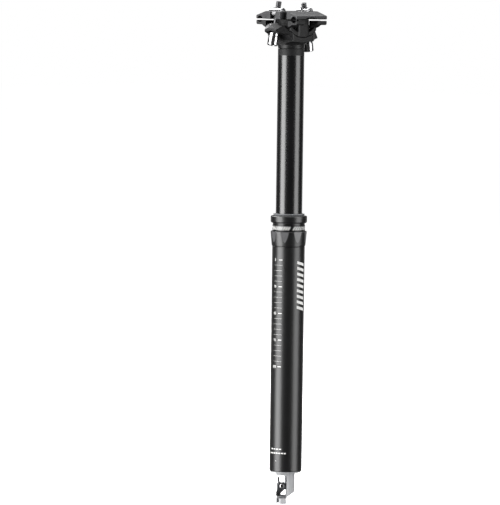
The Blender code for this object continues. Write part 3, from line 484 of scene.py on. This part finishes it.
# %% [markdown]
# ## The collar
# A threaded nut with eight spanner flats closes the outer tube. Each flat is a plane that leans inwards,
# so it leaves a pointed facet on the nut's cone. Above it come a printed band, a stepped ring and the
# wiper seal. The facets are made by pulling the lathe's wall in to each plane, which keeps their edges
# crisp and needs no cutter.

# %% Collar nut
NUT_LOW, NUT_NECK_TOP = top_and_bottom("collar_nut")
NUT_TOP = 14.2
NUT_R = 17.2
NUT_RIM = 0.4
NUT_FOOT_R = 15.85
CONE_FOOT_Z = 0.9
CONE_FOOT_R = NUT_FOOT_R + 0.2
CONE_TALL = 12.8
NUT_TOP_NECK_R = 14.1
NUT_SOCKET_TOP = 12.0
FLATS = 8
FLAT_PHASE = math.radians(30.0)
FLAT_TIP_Z = 3.4
FLAT_HALF = math.radians(14.0)
COLLAR_BORE_R = 12.85
FINE_STEP = 0.35
cone_slope = (NUT_R - CONE_FOOT_R) / CONE_TALL
tip_reach = CONE_FOOT_R + cone_slope * (FLAT_TIP_Z - CONE_FOOT_Z)
top_reach = NUT_R * math.cos(FLAT_HALF)
flat_slope = (top_reach - tip_reach) / (NUT_TOP - FLAT_TIP_Z)


def spanner_flats(radius, height, angle):
    """Pulls the cone in to the nearest flat's plane."""
    if radius < NUT_TOP_NECK_R + 0.4 or height < 0.5:
        return radius, height
    turn = 2 * math.pi / FLATS
    off = (angle - FLAT_PHASE + turn / 2) % turn - turn / 2
    reach = tip_reach + flat_slope * (height - FLAT_TIP_Z)
    return min(radius, reach / math.cos(off)), height


def faceted_anodising():
    """Black anodised like the tube, with the spanner flats milled smooth and lighter. A point is on a
    flat where it lies deeper than the cone."""
    material, tree, shader, place = blasted_anodising("milled_flats_in_black_anodising")
    height = add_node(tree, "ShaderNodeSeparateXYZ", {"Vector": place}).outputs["Z"]
    level = add_node(tree, "ShaderNodeVectorMath", {"operation": "MULTIPLY", 0: place, 1: (1, 1, 0)})
    reach = add_node(tree, "ShaderNodeVectorMath", {"operation": "LENGTH", 0: level.outputs[0]})
    foot = (CONE_FOOT_R - cone_slope * CONE_FOOT_Z) * MM
    cone = add_node(tree, "ShaderNodeMath", {"operation": "MULTIPLY_ADD", 0: height, 1: cone_slope,
                                             2: foot})
    depth = add_node(tree, "ShaderNodeMath", {"operation": "SUBTRACT", 0: cone.outputs[0],
                                              1: reach.outputs["Value"]})
    milled = 1.0
    for value, none_at, full_at in ((height, FLAT_TIP_Z - 0.9, FLAT_TIP_Z - 0.8),
                                    (height, NUT_TOP - 0.45, NUT_TOP - 0.5),
                                    (depth.outputs[0], 0.01, 0.03)):
        share = add_node(tree, "ShaderNodeMapRange", {"Value": value, "From Min": none_at * MM,
                                                      "From Max": full_at * MM})
        milled = add_node(tree, "ShaderNodeMath", {"operation": "MULTIPLY", 0: milled,
                                                   1: share.outputs["Result"]}).outputs[0]
    black = shader.inputs["Base Color"].links[0].from_socket
    grey = tones(tree, grain(tree, place, 0.35, (1, 1, 0.08), 2.0), "#464647", "#555557")
    skin = add_node(tree, "ShaderNodeMix", {"data_type": "RGBA", 0: milled, 6: black, 7: grey})
    tree.links.new(skin.outputs[2], shader.inputs["Base Color"])
    return material


nut_socket_r = NECK_R + 0.3
outside = rounded([(NUT_TOP_NECK_R, NUT_NECK_TOP), (NUT_TOP_NECK_R, NUT_TOP), (NUT_R - NUT_RIM, NUT_TOP),
                   (NUT_R, NUT_TOP - NUT_RIM), (CONE_FOOT_R, CONE_FOOT_Z), (NUT_FOOT_R, CONE_FOOT_Z),
                   (NUT_FOOT_R, NUT_LOW), (nut_socket_r, NUT_LOW)], 0.25)
inside = [(nut_socket_r, NUT_LOW + 0.1), (nut_socket_r, NUT_SOCKET_TOP), (COLLAR_BORE_R, NUT_SOCKET_TOP),
          (COLLAR_BORE_R, NUT_NECK_TOP)]
nut_mesh = lathe("collar_nut_body", refined(outside, FINE_STEP) + inside, 2 * ROUND_SIDES, spanner_flats)
nut = add_piece("collar_nut_body", nut_mesh, faceted_anodising(), "lower_post")
stand_for(nut, "blasted_black", "collar_nut")
print(f"collar nut with {FLATS} flats, {len(nut_mesh.polygons)} faces")

# %% Band, stepped ring and wiper seal
BAND_R = radius_of("collar_band")
BAND_LOW, BAND_TOP = top_and_bottom("collar_band")
RING_R = radius_of("collar_ring")
RING_LOW, RING_TOP = top_and_bottom("collar_ring")
WIPER_LOW, WIPER_TOP = top_and_bottom("wiper_seal")
STAN_R = radius_of("stanchion_tube")
RING_STEP = 22.0
WIPER_RIM_R = 15.0
ring_bore = NUT_TOP_NECK_R + 0.3

band_outline = rounded([(ring_bore, BAND_TOP), (BAND_R, BAND_TOP), (BAND_R, BAND_LOW),
                        (ring_bore, BAND_LOW)], 0.3)
band = add_piece("collar_band_sleeve", lathe("collar_band_sleeve", band_outline, ROUND_SIDES),
                 COLLAR, "lower_post")
stand_for(band, "gloss_black", "collar_band")

ring_outline = rounded([(ring_bore, RING_TOP), (RING_R - 0.5, RING_TOP), (RING_R, RING_TOP - 0.5),
                        (RING_R, RING_STEP + 1.1), (RING_R - 0.9, RING_STEP), (BAND_R - 0.35, RING_STEP),
                        (BAND_R - 0.35, RING_LOW), (ring_bore, RING_LOW)], 0.3)
ring = add_piece("collar_ring_body", lathe("collar_ring_body", ring_outline, ROUND_SIDES),
                 COLLAR, "lower_post")
stand_for(ring, "gloss_black", "collar_ring")

lip = STAN_R + 0.15
wiper_outline = rounded([(lip, WIPER_TOP - 0.35), (lip + 0.35, WIPER_TOP), (14.2, WIPER_TOP - 0.15),
                         (WIPER_RIM_R, WIPER_TOP - 0.45), (WIPER_RIM_R, WIPER_TOP - 1.0),
                         (14.45, WIPER_TOP - 1.35),
                         (14.5, RING_TOP + 0.3), (13.8, RING_TOP + 0.3), (13.8, WIPER_LOW),
                         (lip + 0.5, WIPER_LOW), (lip + 0.5, WIPER_TOP - 1.4), (lip, WIPER_TOP - 1.0)],
                        0.18, closed=True)
wiper = add_piece("wiper_lip", lathe("wiper_lip", wiper_outline, ROUND_SIDES), WIPER, "lower_post")
stand_for(wiper, "rubber", "wiper_seal")
print(f"collar {2 * RING_R:.1f} mm across at its widest")

# %% [markdown]
# ## Print on the tube
# A printed scale tells the rider how deep the post sits: fine lines, and a number at each fifth one. Ink
# is a film, so each mark is a single sheet, a hair above the tube. It could be painted by a material,
# but a sheet keeps its edges sharp close up. Each patch is drawn flat, in degrees round the tube by
# millimetres up it, cut fine enough to bend, and wrapped. The real band and tube also carry lettering,
# and plain slanted bars stand in for it here.


# %% Ink on a cylinder
INK_FILM = 0.03
FILM_CELLS = 6


def wrap_patch(shaped, corners, radius):
    """Adds one four-sided patch of film. Its corners are (degrees, height), in order round it."""
    low_left, low_right, top_right, top_left = [Vector(corner) for corner in corners]
    reach = (radius + INK_FILM) * MM
    rows = []
    for i in range(FILM_CELLS + 1):
        left = low_left.lerp(top_left, i / FILM_CELLS)
        right = low_right.lerp(top_right, i / FILM_CELLS)
        row = []
        for k in range(FILM_CELLS + 1):
            degrees, height = left.lerp(right, k / FILM_CELLS)
            angle = math.radians(degrees)
            row.append(shaped.verts.new((reach * math.cos(angle), reach * math.sin(angle), height * MM)))
        rows.append(row)
    for low, top in zip(rows, rows[1:]):
        for k in range(FILM_CELLS):
            shaped.faces.new((low[k], low[k + 1], top[k + 1], top[k]))


def bar(angle, height, wide, tall, slant=0.0):
    """The corners of a bar centred at (angle, height), leaning by slant degrees at its top."""
    half, rise = wide / 2, tall / 2
    return [(angle - half - slant / 2, height - rise), (angle + half - slant / 2, height - rise),
            (angle + half + slant / 2, height + rise), (angle - half + slant / 2, height + rise)]


def sloped_bar(start, end, height, tall, fall):
    """A bar between two angles that rises by fall millimetres, or drops when fall is negative."""
    return [(start, height - tall / 2), (end, height - tall / 2 + fall), (end, height + tall / 2 + fall),
            (start, height + tall / 2)]


def printed(name, patches, radius):
    """All the marks of one print as a single piece of ink."""
    shaped = bmesh.new()
    for corners in patches:
        wrap_patch(shaped, corners, radius)
    mesh = bpy.data.meshes.new(name)
    shaped.to_mesh(mesh)
    shaped.free()
    add_piece(name, mesh, INK, "lower_post")


# Each digit is drawn in seven strokes, as on a counter, listed here by which strokes are inked. A stroke's
# place is across and up from the middle of the digit, and whether it lies level.
DIGIT_STROKES = {"0": "abcdef", "1": "bc", "2": "abged", "5": "afgcd", "7": "abc"}
STROKE_PLACES = {"a": (0, 1, True), "b": (1, 0.5, False), "c": (1, -0.5, False), "d": (0, -1, True),
                 "e": (-1, -0.5, False), "f": (-1, 0.5, False), "g": (0, 0, True)}


def number(text, angle, height, tall):
    """Strokes of a number, centred at (angle, height)."""
    per_mm = math.degrees(1 / TUBE_R)
    wide = tall * 0.5
    line = tall * 0.17
    pitch = wide * 1.45
    patches = []
    for k, digit in enumerate(text):
        middle = (k - (len(text) - 1) / 2) * pitch
        for stroke in DIGIT_STROKES[digit]:
            x, y, level = STROKE_PLACES[stroke]
            long, high = (wide, line) if level else (line, tall / 2 + line / 2)
            spot = middle + x * (wide - line) / 2
            patches.append(bar(angle + spot * per_mm, height + y * (tall - line) / 2, long * per_mm, high))
    return patches


print("the ink stands", INK_FILM, "mm above the tube")

# %% Scale, plain bars and marks
# Places round the tube are in degrees from the front of the bicycle, and heights in millimetres.
SCALE_START = 167.5
SCALE_END = 202.0
MAJOR_START = 188.5
MAJOR_TALL = 0.75
MINOR_TALL = 0.18
NUMBER_MIDDLE = 172.5
NUMBER_TALL = 2.3
FIRST_MAJOR_Z = -12.7
MAJOR_STEP = 25.4
MAJORS = 5
MINORS = 4
scale_patches = []
for i in range(MAJORS):
    z = FIRST_MAJOR_Z - MAJOR_STEP * i
    scale_patches.append(bar((MAJOR_START + SCALE_END) / 2, z, SCALE_END - MAJOR_START, MAJOR_TALL))
    scale_patches += number(str(25 * i), NUMBER_MIDDLE, z, NUMBER_TALL)
    if i < MAJORS - 1:
        for k in range(1, MINORS + 1):
            minor_z = z - MAJOR_STEP * k / (MINORS + 1)
            scale_patches.append(bar((SCALE_START + SCALE_END) / 2, minor_z,
                                     SCALE_END - SCALE_START, MINOR_TALL))
printed("depth_scale", scale_patches, TUBE_R)

SIDE_BAR_Z = -15.0
SIDE_BAR_STEP = 5.3
side_bars = [sloped_bar(257, 293, SIDE_BAR_Z - SIDE_BAR_STEP * k, tall=2.7, fall=-2.6) for k in range(9)]
printed("side_bars", side_bars, TUBE_R)

UPPER_MARKS_Z = -192.9
LOWER_MARKS_Z = -196.8
DOT_Z = -204.2
foot_marks = [bar(168 + 11.5 * k, UPPER_MARKS_Z, wide=8.5, tall=1.0) for k in range(4)]
foot_marks += [bar(160 + 10.0 * k, LOWER_MARKS_Z, wide=7.5, tall=1.1) for k in range(7)]
foot_marks.append(bar(186, DOT_Z, wide=3.0, tall=0.8))
printed("foot_marks", foot_marks, TUBE_R)

BAND_BARS = 40
BARS_IN_A_ROW = 13
band_middle = (BAND_LOW + BAND_TOP) / 2
band_bars = [bar(360 / BAND_BARS * k, band_middle, wide=3.6, tall=3.4, slant=8.0)
             for k in range(BAND_BARS) if k % BARS_IN_A_ROW != 0]
printed("band_bars", band_bars, BAND_R)
print(f"{len(scale_patches)} ink marks on the scale")

# %% [markdown]
# ## The inner tube
# The stanchion is ground to 25 mm and polished, because it slides through the wiper and bushings. Its
# last few millimetres stay blasted, where the head is bonded into it. Such a mirror shows every facet of
# a coarse mesh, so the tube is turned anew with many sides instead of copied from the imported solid.

# %% Stanchion
STAN_LOW, STAN_TOP = top_and_bottom("stanchion_tube")
STAN_BORE_R = 11.2
BUSHING_SEAT_R = STAN_R - 0.4
seat_low = STAN_LOW + 2.0
seat_top = STAN_LOW + 14.0
outline = rounded([(STAN_BORE_R, STAN_TOP), (STAN_R - 0.02, STAN_TOP), (STAN_R, STAN_TOP - 0.15),
                   (STAN_R, seat_top), (BUSHING_SEAT_R, seat_top), (BUSHING_SEAT_R, seat_low),
                   (STAN_R, seat_low), (STAN_R, STAN_LOW), (STAN_BORE_R, STAN_LOW)], 0.12)
stanchion = add_piece("stanchion_shell", lathe("stanchion_shell", refined(outline, 4.0), ROUND_SIDES),
                      POLISHED, "upper_post")
stand_for(stanchion, "gloss_black", "stanchion_tube")
print(f"stanchion {2 * STAN_R:.0f} mm across, from {STAN_LOW:.0f} to {STAN_TOP:.0f} mm")

# %% [markdown]
# ## Forged and machined clamp parts
# The head, the rocking cradle and the top clamp come out of a die and a milling machine, and then a
# tumbling bath takes off every sharp corner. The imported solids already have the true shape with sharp
# edges. A voxel remesh rebuilds each one as an even skin, and a few smoothing passes do what the bath
# does: edges get a radius of about half a millimetre and flat faces stay flat.


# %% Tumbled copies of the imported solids
def tumbled(name, source, voxel_mm, passes, material, body, slot):
    """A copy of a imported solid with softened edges."""
    merged = bmesh.new()
    merged.from_mesh(nodes[source].data)
    bmesh.ops.remove_doubles(merged, verts=merged.verts, dist=0.002 * MM)
    mesh = bpy.data.meshes.new(name)
    merged.to_mesh(mesh)
    merged.free()
    rough_copy = bpy.data.objects.new(f"{name}_rough", mesh)
    bpy.context.scene.collection.objects.link(rough_copy)
    remesh = rough_copy.modifiers.new("even_skin", "REMESH")
    remesh.mode = "VOXEL"
    remesh.voxel_size = voxel_mm * MM
    remesh.use_smooth_shade = True
    smooth = rough_copy.modifiers.new("tumbling", "SMOOTH")
    smooth.factor = 0.5
    smooth.iterations = passes
    graph = bpy.context.evaluated_depsgraph_get()
    finished = bpy.data.meshes.new_from_object(rough_copy.evaluated_get(graph))
    finished.name = name
    bpy.data.objects.remove(rough_copy)
    bpy.data.meshes.remove(mesh)
    stand_for(add_piece(name, finished, material, body), slot, source)
    print(f"{name}: {len(finished.polygons)} faces")


tumbled("head_forging", "clamp_head", 0.24, 12, FORGED, "upper_post", "forged_black")
tumbled("cradle_forging", "lower_cradle", 0.26, 8, FORGED, "cradle", "forged_black")
tumbled("clamp_plate", "upper_clamp", 0.26, 7, PLATE, "top_clamp", "satin_grey")

# %% [markdown]
# ## Clamp bolts
# Two M6 bolts with plain round heads pull the clamp together from below. Each head has a hexagon socket
# for a key and sits on a domed washer, so that the bolt can swing as the saddle tilts. A thread could be
# a swept profile, but it is also just a groove that climbs one pitch in each turn, so on the lathe its
# depth depends on height minus angle. The socket is pulled in to six flats in the same way.


# %% Sizes and shaping of the bolts
# An M6 thread, drawn slim so that it stays clear of the barrel nut as the clamp rocks.
PITCH = 1.0
THREAD_R = 2.6
THREAD_DEPTH = 0.4
THREAD_LENGTH = 17.0
THREAD_END = 0.4
SHANK_R = 2.4
BOLT_HEAD_R = 4.95
HEAD_TOP = -6.4
HEAD_END = -14.9
SOCKET_R = 2.9
SOCKET_DEPTH = 4.4
DOME_R = 5.9
WASHER_R = 4.75
WASHER_BORE_R = 2.95
# Each bolt swings about a point (x, z) and leans from upright by some degrees.
BOLTS = {"rear": {"swing": (-23.02, 205.0), "lean": 11.8, "tip": 27.5},
         "front": {"swing": (21.55, 199.0), "lean": -9.26, "tip": 31.9}}


def bolt_place(which):
    """From a bolt's own axis, +Z up from its swing point, to the shared frame."""
    x, z = BOLTS[which]["swing"]
    lean = Matrix.Rotation(math.radians(BOLTS[which]["lean"]), 4, "Y")
    return Matrix.Translation((x * MM, 0, z * MM)) @ lean


def thread_shape(tip):
    """The wall of a screw thread that fades in over its first and last turns."""
    start = tip - THREAD_LENGTH
    end = tip - THREAD_END

    def shape(radius, height, angle):
        if radius < SHANK_R - 0.2 or height < start or height > end:
            return radius, height
        phase = (height / PITCH - angle / (2 * math.pi)) % 1.0
        ridge = 1.0 - abs(2 * phase - 1)
        fade = min(1.0, (height - start) / PITCH, (end - height) / 0.6)
        return THREAD_R - THREAD_DEPTH * (1 - min(1.0, ridge * 1.25)) * max(0.0, fade), height
    return shape


def hex_socket(radius, height, angle):
    """Pulls the socket's wall in to six flats."""
    if radius > SOCKET_R + 0.01 or height > HEAD_END + SOCKET_DEPTH + 0.01 or height < HEAD_END + 0.2:
        return radius, height
    off = (angle + math.pi / 6) % (math.pi / 3) - math.pi / 6
    return min(radius, SOCKET_R * math.cos(math.pi / 6) / math.cos(off)), height


across_flats = 2 * SOCKET_R * math.cos(math.pi / 6)
print(f"thread pitch {PITCH} mm, socket {across_flats:.1f} mm across flats")


# %% Turn the bolts and washers
def bolt_thread(which):
    tip = BOLTS[which]["tip"]
    stud = rounded([(SHANK_R - 0.1, HEAD_TOP + 1.2), (SHANK_R, tip - THREAD_LENGTH),
                    (THREAD_R, tip - THREAD_LENGTH), (THREAD_R, tip - THREAD_END),
                    (THREAD_R - 0.5, tip), (0, tip)], 0.1, 1)
    stud_outline = refined([(0, HEAD_TOP + 1.2)] + stud, PITCH / 9)
    stud_mesh = lathe(f"{which}_bolt_thread", stud_outline, 36, thread_shape(tip), bolt_place(which),
                      closed=False)
    shank = add_piece(f"{which}_bolt_thread", stud_mesh, THREAD, f"{which}_bolt_group")


def bolt_head(which):
    head = rounded([(0, HEAD_TOP + 1.3), (SHANK_R + 0.1, HEAD_TOP + 1.3), (SHANK_R + 0.1, HEAD_TOP),
                    (BOLT_HEAD_R - 0.2, HEAD_TOP), (BOLT_HEAD_R, HEAD_TOP - 0.3),
                    (BOLT_HEAD_R, HEAD_END + 0.6), (BOLT_HEAD_R - 0.6, HEAD_END),
                    (SOCKET_R + 0.35, HEAD_END), (SOCKET_R, HEAD_END + 0.35),
                    (SOCKET_R, HEAD_END + SOCKET_DEPTH), (0, HEAD_END + SOCKET_DEPTH + 0.6)], 0.25)
    head_mesh = lathe(f"{which}_bolt_head", refined(head, 0.6), 96, hex_socket, bolt_place(which),
                      closed=False)
    cap = add_piece(f"{which}_bolt_head", head_mesh, PLATED, f"{which}_bolt_group")
    stand_for(cap, "plated_steel", f"{which}_bolt")


def domed_washer(which):
    radii = [WASHER_BORE_R + (WASHER_R - WASHER_BORE_R) * i / 8 for i in range(9)]
    dome = [(radius, -math.sqrt(DOME_R ** 2 - radius ** 2)) for radius in radii]
    foot = [(WASHER_R, HEAD_TOP + 0.3), (WASHER_BORE_R, HEAD_TOP + 0.3)]
    washer_outline = dome + rounded([dome[-1]] + foot, 0.3)[1:]
    washer_mesh = lathe(f"{which}_domed_washer", washer_outline, 96, None, bolt_place(which))
    washer = add_piece(f"{which}_domed_washer", washer_mesh, PLATED, f"{which}_bolt_group")
    stand_for(washer, "plated_steel", f"{which}_washer")


for which in BOLTS:
    bolt_thread(which)
    bolt_head(which)
    domed_washer(which)
print(len(BOLTS), "bolts, heads", 2 * BOLT_HEAD_R, "mm across")

# %% [markdown]
# ## Barrel nuts
# Each bolt screws into a short steel bar that lies across the clamp and can roll in its trough. Its end
# faces are turned with a ring groove, and its threaded hole runs straight through from side to side. The
# hole is the one place on these small parts where a Boolean is the plain way.

# %% Barrel nuts
NUT_HEIGHT = 221.2
NUT_BORE_R = 3.6
DRILL_REACH = 9.0


def nut_place(bolt):
    """Where a barrel nut's middle stands, with +Z along its bolt."""
    x, z = bolt["swing"]
    lean = math.radians(bolt["lean"])
    centre = ((x + (NUT_HEIGHT - z) * math.tan(lean)) * MM, 0, NUT_HEIGHT * MM)
    return Matrix.Translation(centre) @ Matrix.Rotation(lean, 4, "Y")


def drilled(roller_mesh, drill_mesh):
    """The roller with the drill's volume taken out of it."""
    roller = bpy.data.objects.new("roller", roller_mesh)
    drill = bpy.data.objects.new("drill", drill_mesh)
    for thing in (roller, drill):
        bpy.context.scene.collection.objects.link(thing)
    bore = roller.modifiers.new("bore", "BOOLEAN")
    bore.operation = "DIFFERENCE"
    bore.solver = "EXACT"
    bore.object = drill
    graph = bpy.context.evaluated_depsgraph_get()
    mesh = bpy.data.meshes.new_from_object(roller.evaluated_get(graph))
    for thing in (roller, drill):
        bpy.data.objects.remove(thing)
    mesh.set_sharp_from_angle(angle=SHARP_ANGLE)
    return mesh


for which, bolt in BOLTS.items():
    low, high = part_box(f"{which}_barrel_nut")
    half = (high.y - low.y) / 2 / MM
    reach = (high.x - low.x) / 2 / MM
    end = [(0, half - 0.5), (1.7, half - 0.5), (1.9, half - 0.1), (2.7, half - 0.1), (3.0, half - 0.8),
           (3.7, half - 0.8), (3.9, half), (reach - 0.5, half), (reach, half - 0.5)]
    outline = rounded(end + [(r, -h) for r, h in reversed(end)], 0.15)
    across = nut_place(bolt) @ Matrix.Rotation(math.radians(90), 4, "X")
    roller_mesh = lathe("roller", refined(outline, 0.7), 96, None, across, closed=False)
    drill_outline = rounded([(0, DRILL_REACH), (NUT_BORE_R, DRILL_REACH), (NUT_BORE_R, -DRILL_REACH),
                             (0, -DRILL_REACH)], 0.01)
    drill_mesh = lathe("drill", refined(drill_outline, 1.0), 64, None, nut_place(bolt), closed=False)
    nut = add_piece(f"{which}_rolling_nut", drilled(roller_mesh, drill_mesh), PLATED, f"{which}_nut")
    stand_for(nut, "plated_steel", f"{which}_barrel_nut")
    print(f"{which} barrel nut {2 * half:.1f} mm long, {2 * reach:.1f} mm across")

# %% [markdown]
# ## The cable actuator
# Under the post hangs a small silver housing with a dark lever in it. A gear cable pulls the lever, and
# the lever lifts a pin that unlocks the gas cartridge. Housing and lever are milled from bar, so they
# are softened like the clamp, but with fewer passes, because a milled edge is crisper than a tumbled one.
# The rim that closes the tube is turned, so it comes off the lathe.

# %% Actuator
tumbled("actuator_body", "actuator_housing", 0.30, 2, SILVER, "lower_post", "silver")
tumbled("release_lever", "actuator_lever", 0.16, 3, LEVER, "lever", "lever_grey")
RIM_LOW, RIM_HIGH = top_and_bottom("housing_ring")
RIM_R = 14.7
RIM_NECK_R = 13.3
RIM_BORE_R = 11.8
rim_top = TUBE_LOW - 0.3
rim_outline = rounded([(RIM_BORE_R, RIM_HIGH), (RIM_NECK_R, RIM_HIGH), (RIM_NECK_R, rim_top),
                       (RIM_R, rim_top), (RIM_R, RIM_LOW + 0.4), (RIM_R - 0.4, RIM_LOW),
                       (RIM_BORE_R, RIM_LOW)], 0.3, closed=True)
rim = add_piece("housing_rim", lathe("housing_rim", rim_outline, ROUND_SIDES), SILVER, "lower_post")
stand_for(rim, "silver", "housing_ring")
print(f"actuator {(RIM_LOW - cad_low.z / MM):.0f} mm long below the tube")

# %% [markdown]
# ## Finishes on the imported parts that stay
# Parts inside the post, and small plain ones, already have their final shape. They could be modelled
# again, but nothing would be gained. They only need a finish, which goes into their material slots by
# the slot names in the record.

# %% Assign finishes
SLOT_FINISH = {"blasted_black": BLASTED, "gloss_black": COLLAR, "forged_black": FORGED, "satin_grey": PLATE,
               "silver": SILVER, "plated_steel": PLATED, "steel": STEEL, "rubber": RUBBER,
               "bushing": BUSHING, "brass": BRASS, "lever_grey": LEVER}
for row in frame["record"]["subparts"]:
    for slot in nodes[row["node"]].material_slots:
        slot.material = SLOT_FINISH[row["material_slot"]]

# %% [markdown]
# ## Studio
# The post is shown as in a product studio: held upright in front of white, between tall soft lights at
# the sides that draw long highlights down the tubes, with the dark room between them. A broad soft light
# above brightens the upward faces, a smaller one high at the back left picks out their edges, and two
# faint ones behind give the dark sides a thin edge. The floor is pale and plain, and lies just below the
# actuator. Black parts look black only in a dark room, so the white backdrop is seen by the camera alone,
# and the floor is hidden from reflections.

# %% Camera
def facing(direction):
    """A turn that points -Z along direction, with +Y kept up."""
    return direction.to_track_quat("-Z", "Y").to_matrix().to_4x4()


VIEW_TURN = math.radians(-46.0)
PITCH_DOWN = math.radians(3.9)
ROLL = math.radians(0.746)
DISTANCE = 4.5
AIM_ACROSS = -0.0365
AIM_HEIGHT = -0.0069
VIEW_TALL = 0.4798
right = Vector((math.cos(VIEW_TURN), math.sin(VIEW_TURN), 0))
ahead = Vector((-math.sin(VIEW_TURN), math.cos(VIEW_TURN), 0))
aim = right * AIM_ACROSS + Vector((0, 0, AIM_HEIGHT))
forward = ahead * math.cos(PITCH_DOWN) - Vector((0, 0, math.sin(PITCH_DOWN)))
camera_data = bpy.data.cameras.new("studio_camera")
camera_data.lens = camera_data.sensor_width * DISTANCE / VIEW_TALL
camera_data.clip_end = 100
camera = bpy.data.objects.new("studio_camera", camera_data)
bpy.context.scene.collection.objects.link(camera)
turned = facing(forward) @ Matrix.Rotation(ROLL, 4, "Z")
camera.matrix_world = Matrix.Translation(aim - forward * DISTANCE) @ turned
bpy.context.scene.camera = camera
print(f"lens {camera_data.lens:.0f} mm at {DISTANCE} m")


# %% Lights
def soft_light(name, around, height, distance, wide, tall, power, aim_height=0.0):
    """A soft box that faces the post and stands around degrees from the camera, to its right."""
    data = bpy.data.lights.new(name, "AREA")
    data.shape = "RECTANGLE"
    data.size = wide
    data.size_y = tall
    data.energy = power
    light = bpy.data.objects.new(name, data)
    bpy.context.scene.collection.objects.link(light)
    angle = math.radians(around)
    spot = (right * math.sin(angle) - ahead * math.cos(angle)) * distance + Vector((0, 0, height))
    light.matrix_world = Matrix.Translation(spot) @ facing(Vector((0, 0, aim_height)) - spot)
    light.visible_camera = False
    print(f"{name}: {power} W, {wide} by {tall} m")


soft_light("left_strip", around=-63, height=0.0, distance=1.6, wide=1.2, tall=3.2, power=80)
soft_light("right_strip", around=65, height=0.0, distance=1.6, wide=1.1, tall=3.2, power=38)
soft_light("back_left", around=-145, height=0.1, distance=2.2, wide=0.6, tall=2.6, power=2.5)
soft_light("back_right", around=145, height=0.1, distance=2.2, wide=0.6, tall=2.6, power=2.5)
soft_light("overhead", around=180, height=1.55, distance=0.3, wide=2.2, tall=2.2, power=56, aim_height=0.2)
soft_light("high_back_left", around=-137, height=1.35, distance=1.7, wide=0.9, tall=0.9, power=34,
           aim_height=0.2)

# %% Floor and backdrop
HALF_FLOOR = 9.0
FLOOR_GAP = 0.012
ROOM_LIGHT = 0.035
floor_z = cad_low.z - FLOOR_GAP
floor_mesh = bpy.data.meshes.new("studio_floor")
floor_mesh.from_pydata([(x * HALF_FLOOR, y * HALF_FLOOR, floor_z)
                        for x, y in ((-1, -1), (1, -1), (1, 1), (-1, 1))], [], [(0, 1, 2, 3)])
floor = bpy.data.objects.new("studio_floor", floor_mesh)
bpy.context.scene.collection.objects.link(floor)
# Matt painted board. It glows by itself, so it meets the white backdrop without a visible line.
pale, _, shader, _ = new_material("pale_studio_floor", "#f4f4f4", 0.0, 0.8)
shader.inputs["Emission Color"].default_value = colour("#ffffff")
shader.inputs["Emission Strength"].default_value = 0.97
floor_mesh.materials.append(pale)
floor.visible_glossy = False
floor.visible_diffuse = False
floor.visible_shadow = False

world = bpy.data.worlds.new("studio")
world.use_nodes = True
bpy.context.scene.world = world
room = world.node_tree
dim = room.nodes["Background"]
dim.inputs["Color"].default_value = colour("#ffffff")
dim.inputs["Strength"].default_value = ROOM_LIGHT
white = add_node(room, "ShaderNodeBackground", {"Color": colour("#ffffff"), "Strength": 1.0})
ray = add_node(room, "ShaderNodeLightPath", {})
blend = add_node(room, "ShaderNodeMixShader",
                 {0: ray.outputs["Is Camera Ray"], 1: dim.outputs[0], 2: white.outputs[0]})
room.links.new(blend.outputs[0], room.nodes["World Output"].inputs["Surface"])
bpy.context.scene.view_settings.view_transform = "Standard"
print(f"floor {FLOOR_GAP / MM:.0f} mm below the post")

# %% [markdown]
# ## Sizes
# The imported solids' box is printed, in millimetres. The finished model must stay inside the imported
# solids' box.

# %% Print the imported solids' box
print("CAD box   ", [round(v / MM, 1) for v in (*cad_low, *cad_high)])
